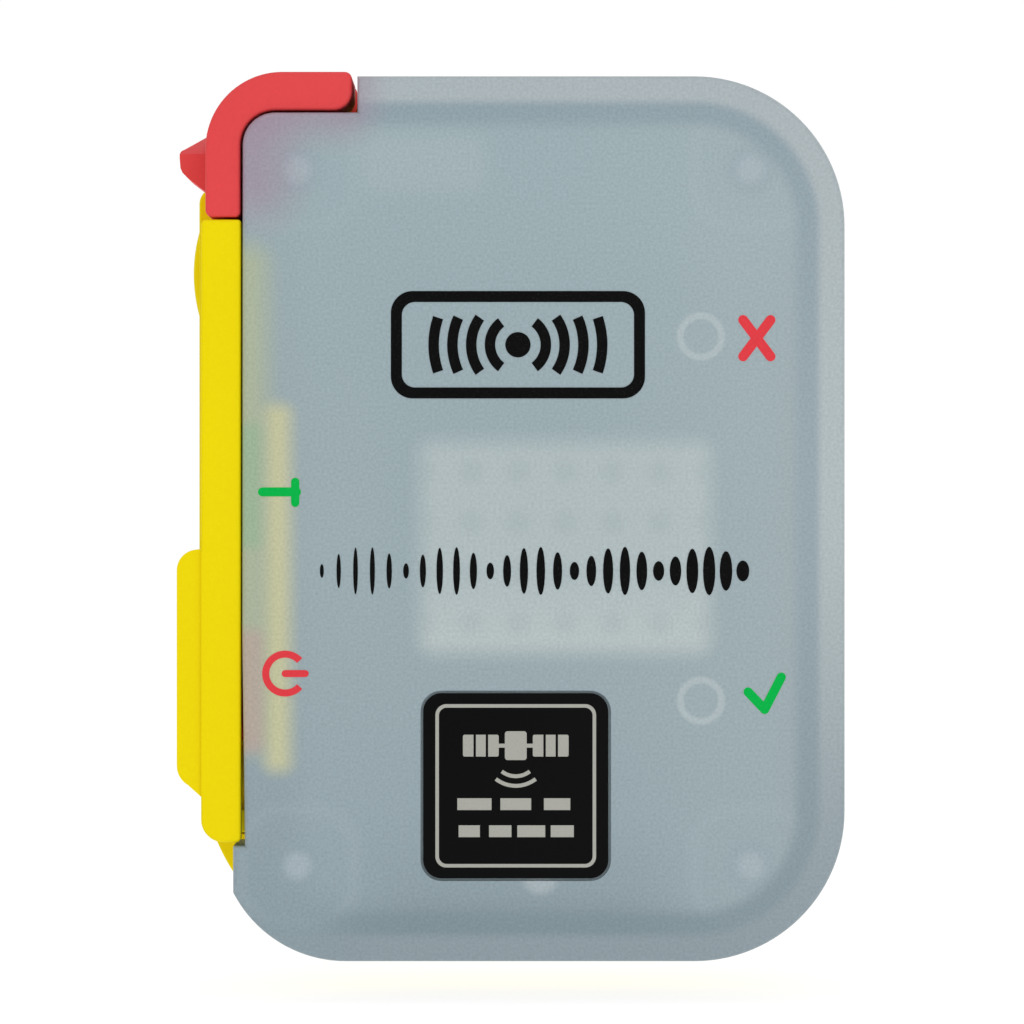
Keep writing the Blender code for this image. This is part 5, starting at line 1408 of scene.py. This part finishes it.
class BEACON_OT_labels(bpy.types.Operator):
    """Make the black label on the front and the pale one on the back, with plain print"""
    bl_idname = "beacon.labels"
    bl_label = "Labels"

    def execute(self, context):
        sizes = context.scene.beacon_print
        ink = sizes.ink_height / MM
        self.front_label(sizes, ink)
        self.rear_label(sizes, ink)
        return {"FINISHED"}

    def front_label(self, sizes, ink):
        x, _, z = middle("front_label")
        wide, _, tall = half("front_label")
        front = LABEL_LOW[1]
        panel = slab("front_panel", centred(x, z, 2 * wide, 2 * tall, 2.1, 14), front, LABEL_HIGH[1], 0.08,
                     0.0, 3)
        soften(panel, 0.0)
        dress(panel, MATERIALS["film"], "case", "label_film", "front_label")
        level = (front - ink, front)
        line = rim_ring("panel_line", centred(x, z, 18.4, 18.7, 1.25, 12), centred(x, z, 17.6, 17.9, 0.9, 12),
                        *level)
        items = [line]
        icon_x, icon_z = x, z + 4.6
        shapes = [centred(icon_x, icon_z, 2.5, 3.3, 0.3, 4)]
        for side in (-1, 1):
            shapes.append(centred(icon_x + side * 4.0, icon_z, 4.1, 2.5, 0.2, 4))
            shapes.append(centred(icon_x + side * 1.6, icon_z, 1.4, 0.45, 0.1, 3))
        body = merged("satellite", shapes, *level)
        slots = [("DIFFERENCE", slab("slot", centred(icon_x + side * offset, icon_z, 0.28, 5.0, 0.1, 3),
                                     level[0] - 1.0, level[1] + 1.0))
                 for side in (-1, 1) for offset in (3.3, 4.7)]
        shape(body, slots)
        items.append(body)
        for radius in (2.6, 3.7):
            items.append(slab("beam", sector(icon_x, icon_z - 0.9, radius - 0.22, radius + 0.22, 232, 308),
                              *level))
        art = together("panel_print", items)
        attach(art, "case")
        art.data.materials.append(MATERIALS["ink_grey"])
        for row, (height, count) in enumerate(((-2.1, 3), (-5.2, 4))):
            step = 14.2 / count
            bars = geometry_tree("print").build("panel_row_%d" % (row + 1), MATERIALS["ink_grey"], {
                "Count": count,
                "Start": ((x - 7.1 + step / 2) * MM, (front - ink / 2) * MM, (z + height) * MM),
                "Step": (step * MM, 0.0, 0.0), "Shortest": step * 0.62 * MM, "Longest": step * 0.9 * MM,
                "Height": 1.35 * MM, "Depth": ink * MM, "Seed": sizes.seed + row})
            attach(bars, "case")

    def rear_label(self, sizes, ink):
        x, _, z = middle("rear_label")
        wide, _, tall = half("rear_label")
        back = REAR_LABEL_HIGH[1]
        panel = slab("rear_panel", centred(x, z, 2 * wide, 2 * tall, 2.6, 14), REAR_LABEL_LOW[1], back, 0.0,
                     0.06, 3)
        soften(panel, 0.0)
        dress(panel, MATERIALS["pale_film"], "case", "label_film", "rear_label")
        level = (back, back + ink)
        items = [rim_ring("border", centred(x, z, 2 * wide - 2.4, 2 * tall - 2.4, 1.8, 10),
                          centred(x, z, 2 * wide - 3.2, 2 * tall - 3.2, 1.4, 10), *level)]
        for number in range(3):
            place = z + tall - 9.0 - number * 13.0
            items.append(rim_ring("cell", centred(x + wide - 8.5, place, 9.5, 9.5, 1.4, 8),
                                  centred(x + wide - 8.5, place, 8.7, 8.7, 1.0, 8), *level))
            items.append(slab("dot", arc(x + wide - 8.5, place - 2.4, 0.75, 0, 348, 24), *level))
            for ring in range(number + 1):
                radius = 1.9 + ring * 1.35
                items.append(slab("wave",
                                  sector(x + wide - 8.5, place - 2.4, radius - 0.3, radius + 0.3, 45, 135),
                                  *level))
        art = together("rear_print", items)
        art.data.materials.append(MATERIALS["ink_black"])
        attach(art, "case")
        for row in range(9):
            count = 5
            step = 24.0 / count
            place = z + tall - 6.0 - (row // 3) * 13.0 - (row % 3) * 3.0
            bars = geometry_tree("print").build("rear_row_%d" % (row + 1), MATERIALS["ink_black"], {
                "Count": count,
                "Start": ((x - wide + 4.5 + step / 2) * MM, (back + ink / 2) * MM, place * MM),
                "Step": (step * MM, 0.0, 0.0), "Shortest": step * 0.55 * MM, "Longest": step * 0.88 * MM,
                "Height": 1.0 * MM, "Depth": ink * MM, "Seed": sizes.seed + 10 + row})
            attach(bars, "case")


class BEACON_OT_marks(bpy.types.Operator):
    """Print the plain marks on the cover: frame, radio waves, fading bars, cross, tick, test and power"""
    bl_idname = "beacon.marks"
    bl_label = "Printed Marks"

    def execute(self, context):
        sizes = context.scene.beacon_print
        ink = sizes.ink_height / MM
        level = (FRONT - ink, FRONT + 0.02)
        self.black_marks(sizes, level)
        x, z = middle("fail_light_tube")[0] + 6.4, middle("fail_light_tube")[2] - 0.2
        cross = merged("red_cross", [capsule((x - 1.57, z - 2.09), (x + 1.57, z + 2.09), 1.12),
                                     capsule((x - 1.57, z + 2.09), (x + 1.57, z - 2.09), 1.12)], *level)
        self.place(cross, "ink_red")
        x, z = middle("pass_light_tube")[0] + 7.3, middle("pass_light_tube")[2]
        tick = merged("green_tick", [capsule((x - 1.9, z + 1.0), (x, z - 1.0), 1.05),
                                     capsule((x, z - 1.0), (x + 1.9, z + 2.7), 1.05)], *level)
        self.place(tick, "ink_green")
        z = middle("test_button")[2]
        stem = LEFT_FACE + 2.35
        test = merged("green_test_mark", [capsule((stem, z - 0.5), (stem + 3.9, z - 0.5), 1.03),
                                          capsule((stem + 3.75, z - 1.75), (stem + 3.75, z + 0.65), 0.95)],
                                          *level)
        self.place(test, "ink_green")
        x, z = LEFT_FACE + 4.95, middle("activate_button")[2] + 1.0
        power = [slab("power_ring", sector(x, z, 1.83, 2.63, 42, 318, 40), *level),
                 slab("power_bar", capsule((x, z), (x + 2.3, z), 0.8), *level)]
        self.place(together("red_power_mark", power), "ink_red")
        return {"FINISHED"}

    def place(self, mark, finish):
        mark.data.materials.append(MATERIALS[finish])
        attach(mark, "case")

    def black_marks(self, sizes, level):
        x, z = 0.85, 70.65
        stroke = sizes.frame_stroke / MM
        frame_line = rim_ring("frame_line", centred(x, z, 29.1, 12.3, 2.5, 12),
                              centred(x, z, 29.1 - 2 * stroke, 12.3 - 2 * stroke, 1.5, 12), *level)
        items = [frame_line, slab("mast", arc(x, z, 1.45, 0, 352, 40), *level)]
        for number in range(4):
            radius = 3.2 + number * 2.15
            spread = math.degrees(math.asin(min(0.8, 3.1 / radius)))
            for facing in (0, 180):
                items.append(slab("wave",
                                  sector(x, z, radius - 0.6, radius + 0.6, facing - spread, facing + spread),
                                  *level))
        self.place(together("wave_mark", items), "ink_black")
        left, right, height = -21.6, 26.6, 44.75
        step = (right - left) / (sizes.bars - 1)
        bars = geometry_tree("pills").build("fading_bars", MATERIALS["ink_black"], {
            "Count": sizes.bars, "Start": (left * MM, sum(level) / 2 * MM, height * MM),
            "Step": (step * MM, 0.0, 0.0), "Thin": 0.45 * MM, "Thick": 1.48 * MM, "Height": 5.6 * MM,
            "Swell": 0.62, "Depth": (level[1] - level[0]) * MM})
        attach(bars, "case")


class BEACON_OT_inner_parts(bpy.types.Operator):
    """Give the pieces inside, the pins, the springs and the seals their finishes"""
    bl_idname = "beacon.inner_parts"
    bl_label = "Inner Parts"

    def execute(self, context):
        finishes = {
            "black_rubber": "rubber", "steel": "steel", "black_plastic": "black", "circuit_board": "board",
            "tinned_steel": "tinned", "clear_plastic": "milky", "lamp_lens": "lens",
            "beige_ceramic": "ceramic",
            "pale_yellow_plastic": "pale_yellow", "cell_sleeve": "sleeve", "spring_tape": "tape",
            "yellow_plastic": "yellow", "red_plastic": "red", "green_plastic": "green",
            "frosted_plastic": "frosted", "label_film": "film",
        }
        for row in frame["record"]["subparts"]:
            item = frame["nodes"][row["node"]]
            for slot in item.material_slots:
                slot.material = MATERIALS[finishes[row["material_slot"]]]
        return {"FINISHED"}


class BEACON_OT_stage(bpy.types.Operator):
    """Set the pale floor and backdrop, the soft lights and the camera"""
    bl_idname = "beacon.stage"
    bl_label = "Stage"

    def execute(self, context):
        sizes = context.scene.beacon_stage
        self.floor(sizes)
        self.lights(context, sizes)
        camera = bpy.data.cameras.new("camera")
        camera.lens = sizes.lens
        camera.sensor_width = 36.0
        view = bpy.data.objects.new("camera", camera)
        view.location = (0.00017, FRONT * MM - sizes.distance, sizes.height)
        view.rotation_euler = (math.pi / 2, 0.0, 0.0)
        context.collection.objects.link(view)
        context.scene.camera = view
        context.scene.view_settings.view_transform = "Standard"
        return {"FINISHED"}

    def floor(self, sizes):
        """A floor that curves up into a backdrop well behind the beacon."""
        profile = [(-1.6, 0.0)] + [(0.7 + 0.5 * math.sin(math.radians(angle)),
                                    0.5 - 0.5 * math.cos(math.radians(angle)))
                                   for angle in range(0, 91, 6)] + [(1.2, 1.8)]
        mesh = bpy.data.meshes.new("backdrop")
        corners = [(side * 2.2, y, z - sizes.drop) for y, z in profile for side in (-1, 1)]
        faces = [(2 * row, 2 * row + 1, 2 * row + 3, 2 * row + 2) for row in range(len(profile) - 1)]
        mesh.from_pydata(corners, [], faces)
        mesh.shade_smooth()
        backdrop = bpy.data.objects.new("backdrop", mesh)
        bpy.context.collection.objects.link(backdrop)
        made, tree, shader, place = start_material("backdrop_finish", {"Roughness": 0.9})
        cloud = node(tree, "ShaderNodeTexNoise", None, {"Vector": place, "Scale": 3.0}).outputs["Fac"]
        paler = tone([value * 0.985 for value in sizes.floor])
        surface = blend_colour(tree, cloud, tone(sizes.floor), paler)
        tree.links.new(surface, shader.inputs["Base Color"])
        glow = blend_colour(tree, cloud, tone(sizes.haze), tone([value * 0.99 for value in sizes.haze]))
        tree.links.new(glow, shader.inputs["Emission Color"])
        shader.inputs["Emission Strength"].default_value = sizes.glow
        mesh.materials.append(made)

    def lights(self, context, sizes):
        world = context.scene.world or bpy.data.worlds.new("soft_room")
        context.scene.world = world
        world.use_nodes = True
        light = world.node_tree.nodes["Background"]
        light.inputs["Color"].default_value = (1.0, 1.0, 1.0, 1.0)
        light.inputs["Strength"].default_value = sizes.ambient
        for name, place, turn, size, power in (
                ("key", (-0.12, -0.45, 0.75), (-28, -9), 0.7, sizes.key),
                ("fill", (0.35, -0.75, 0.25), (-72, 24), 0.6, sizes.fill)):
            lamp = bpy.data.lights.new(name, "AREA")
            lamp.shape = "SQUARE"
            lamp.size = size
            lamp.energy = power
            item = bpy.data.objects.new(name, lamp)
            item.location = place
            item.rotation_euler = (math.radians(-turn[0]), 0.0, math.radians(turn[1]))
            context.collection.objects.link(item)


class BEACON_PT_looks(bpy.types.Panel):
    """The beacon's pieces, sizes and colours"""
    bl_idname = "BEACON_PT_looks"
    bl_label = "Pocket Beacon"
    bl_space_type = "VIEW_3D"
    bl_region_type = "UI"
    bl_category = "Beacon"

    def draw(self, context):
        for title, held in (("Shells", context.scene.beacon_shells),
                            ("Moving Pieces", context.scene.beacon_moving),
                            ("Print", context.scene.beacon_print), ("Colours", context.scene.beacon_colours),
                            ("Stage", context.scene.beacon_stage)):
            box = self.layout.box()
            box.label(text=title)
            for key in held.__annotations__:
                box.prop(held, key)
        for operator in OPERATORS:
            self.layout.operator(operator.bl_idname)


GROUP_PROPERTIES = {
    "beacon_shells": BeaconShellSizes, "beacon_moving": BeaconMovingSizes, "beacon_print": BeaconPrintSizes,
    "beacon_colours": BeaconColours, "beacon_stage": BeaconStage,
}
OPERATORS = (
    BEACON_OT_materials, BEACON_OT_cover, BEACON_OT_rear_case, BEACON_OT_guard, BEACON_OT_latch,
    BEACON_OT_buttons, BEACON_OT_springs, BEACON_OT_aerial, BEACON_OT_screws, BEACON_OT_labels,
    BEACON_OT_marks,
    BEACON_OT_inner_parts, BEACON_OT_stage,
)
CLASSES = (*GROUP_PROPERTIES.values(), *OPERATORS, BEACON_PT_looks)


def register():
    for item in CLASSES:
        bpy.utils.register_class(item)
    for key, kind in GROUP_PROPERTIES.items():
        setattr(bpy.types.Scene, key, bpy.props.PointerProperty(type=kind))


def unregister():
    for key in GROUP_PROPERTIES:
        delattr(bpy.types.Scene, key)
    for item in reversed(CLASSES):
        bpy.utils.unregister_class(item)


def main():
    """Build every piece in order."""
    register()
    for operator in OPERATORS:
        area, name = operator.bl_idname.split(".")
        getattr(getattr(bpy.ops, area), name)()


if __name__ == "__main__":
    main()
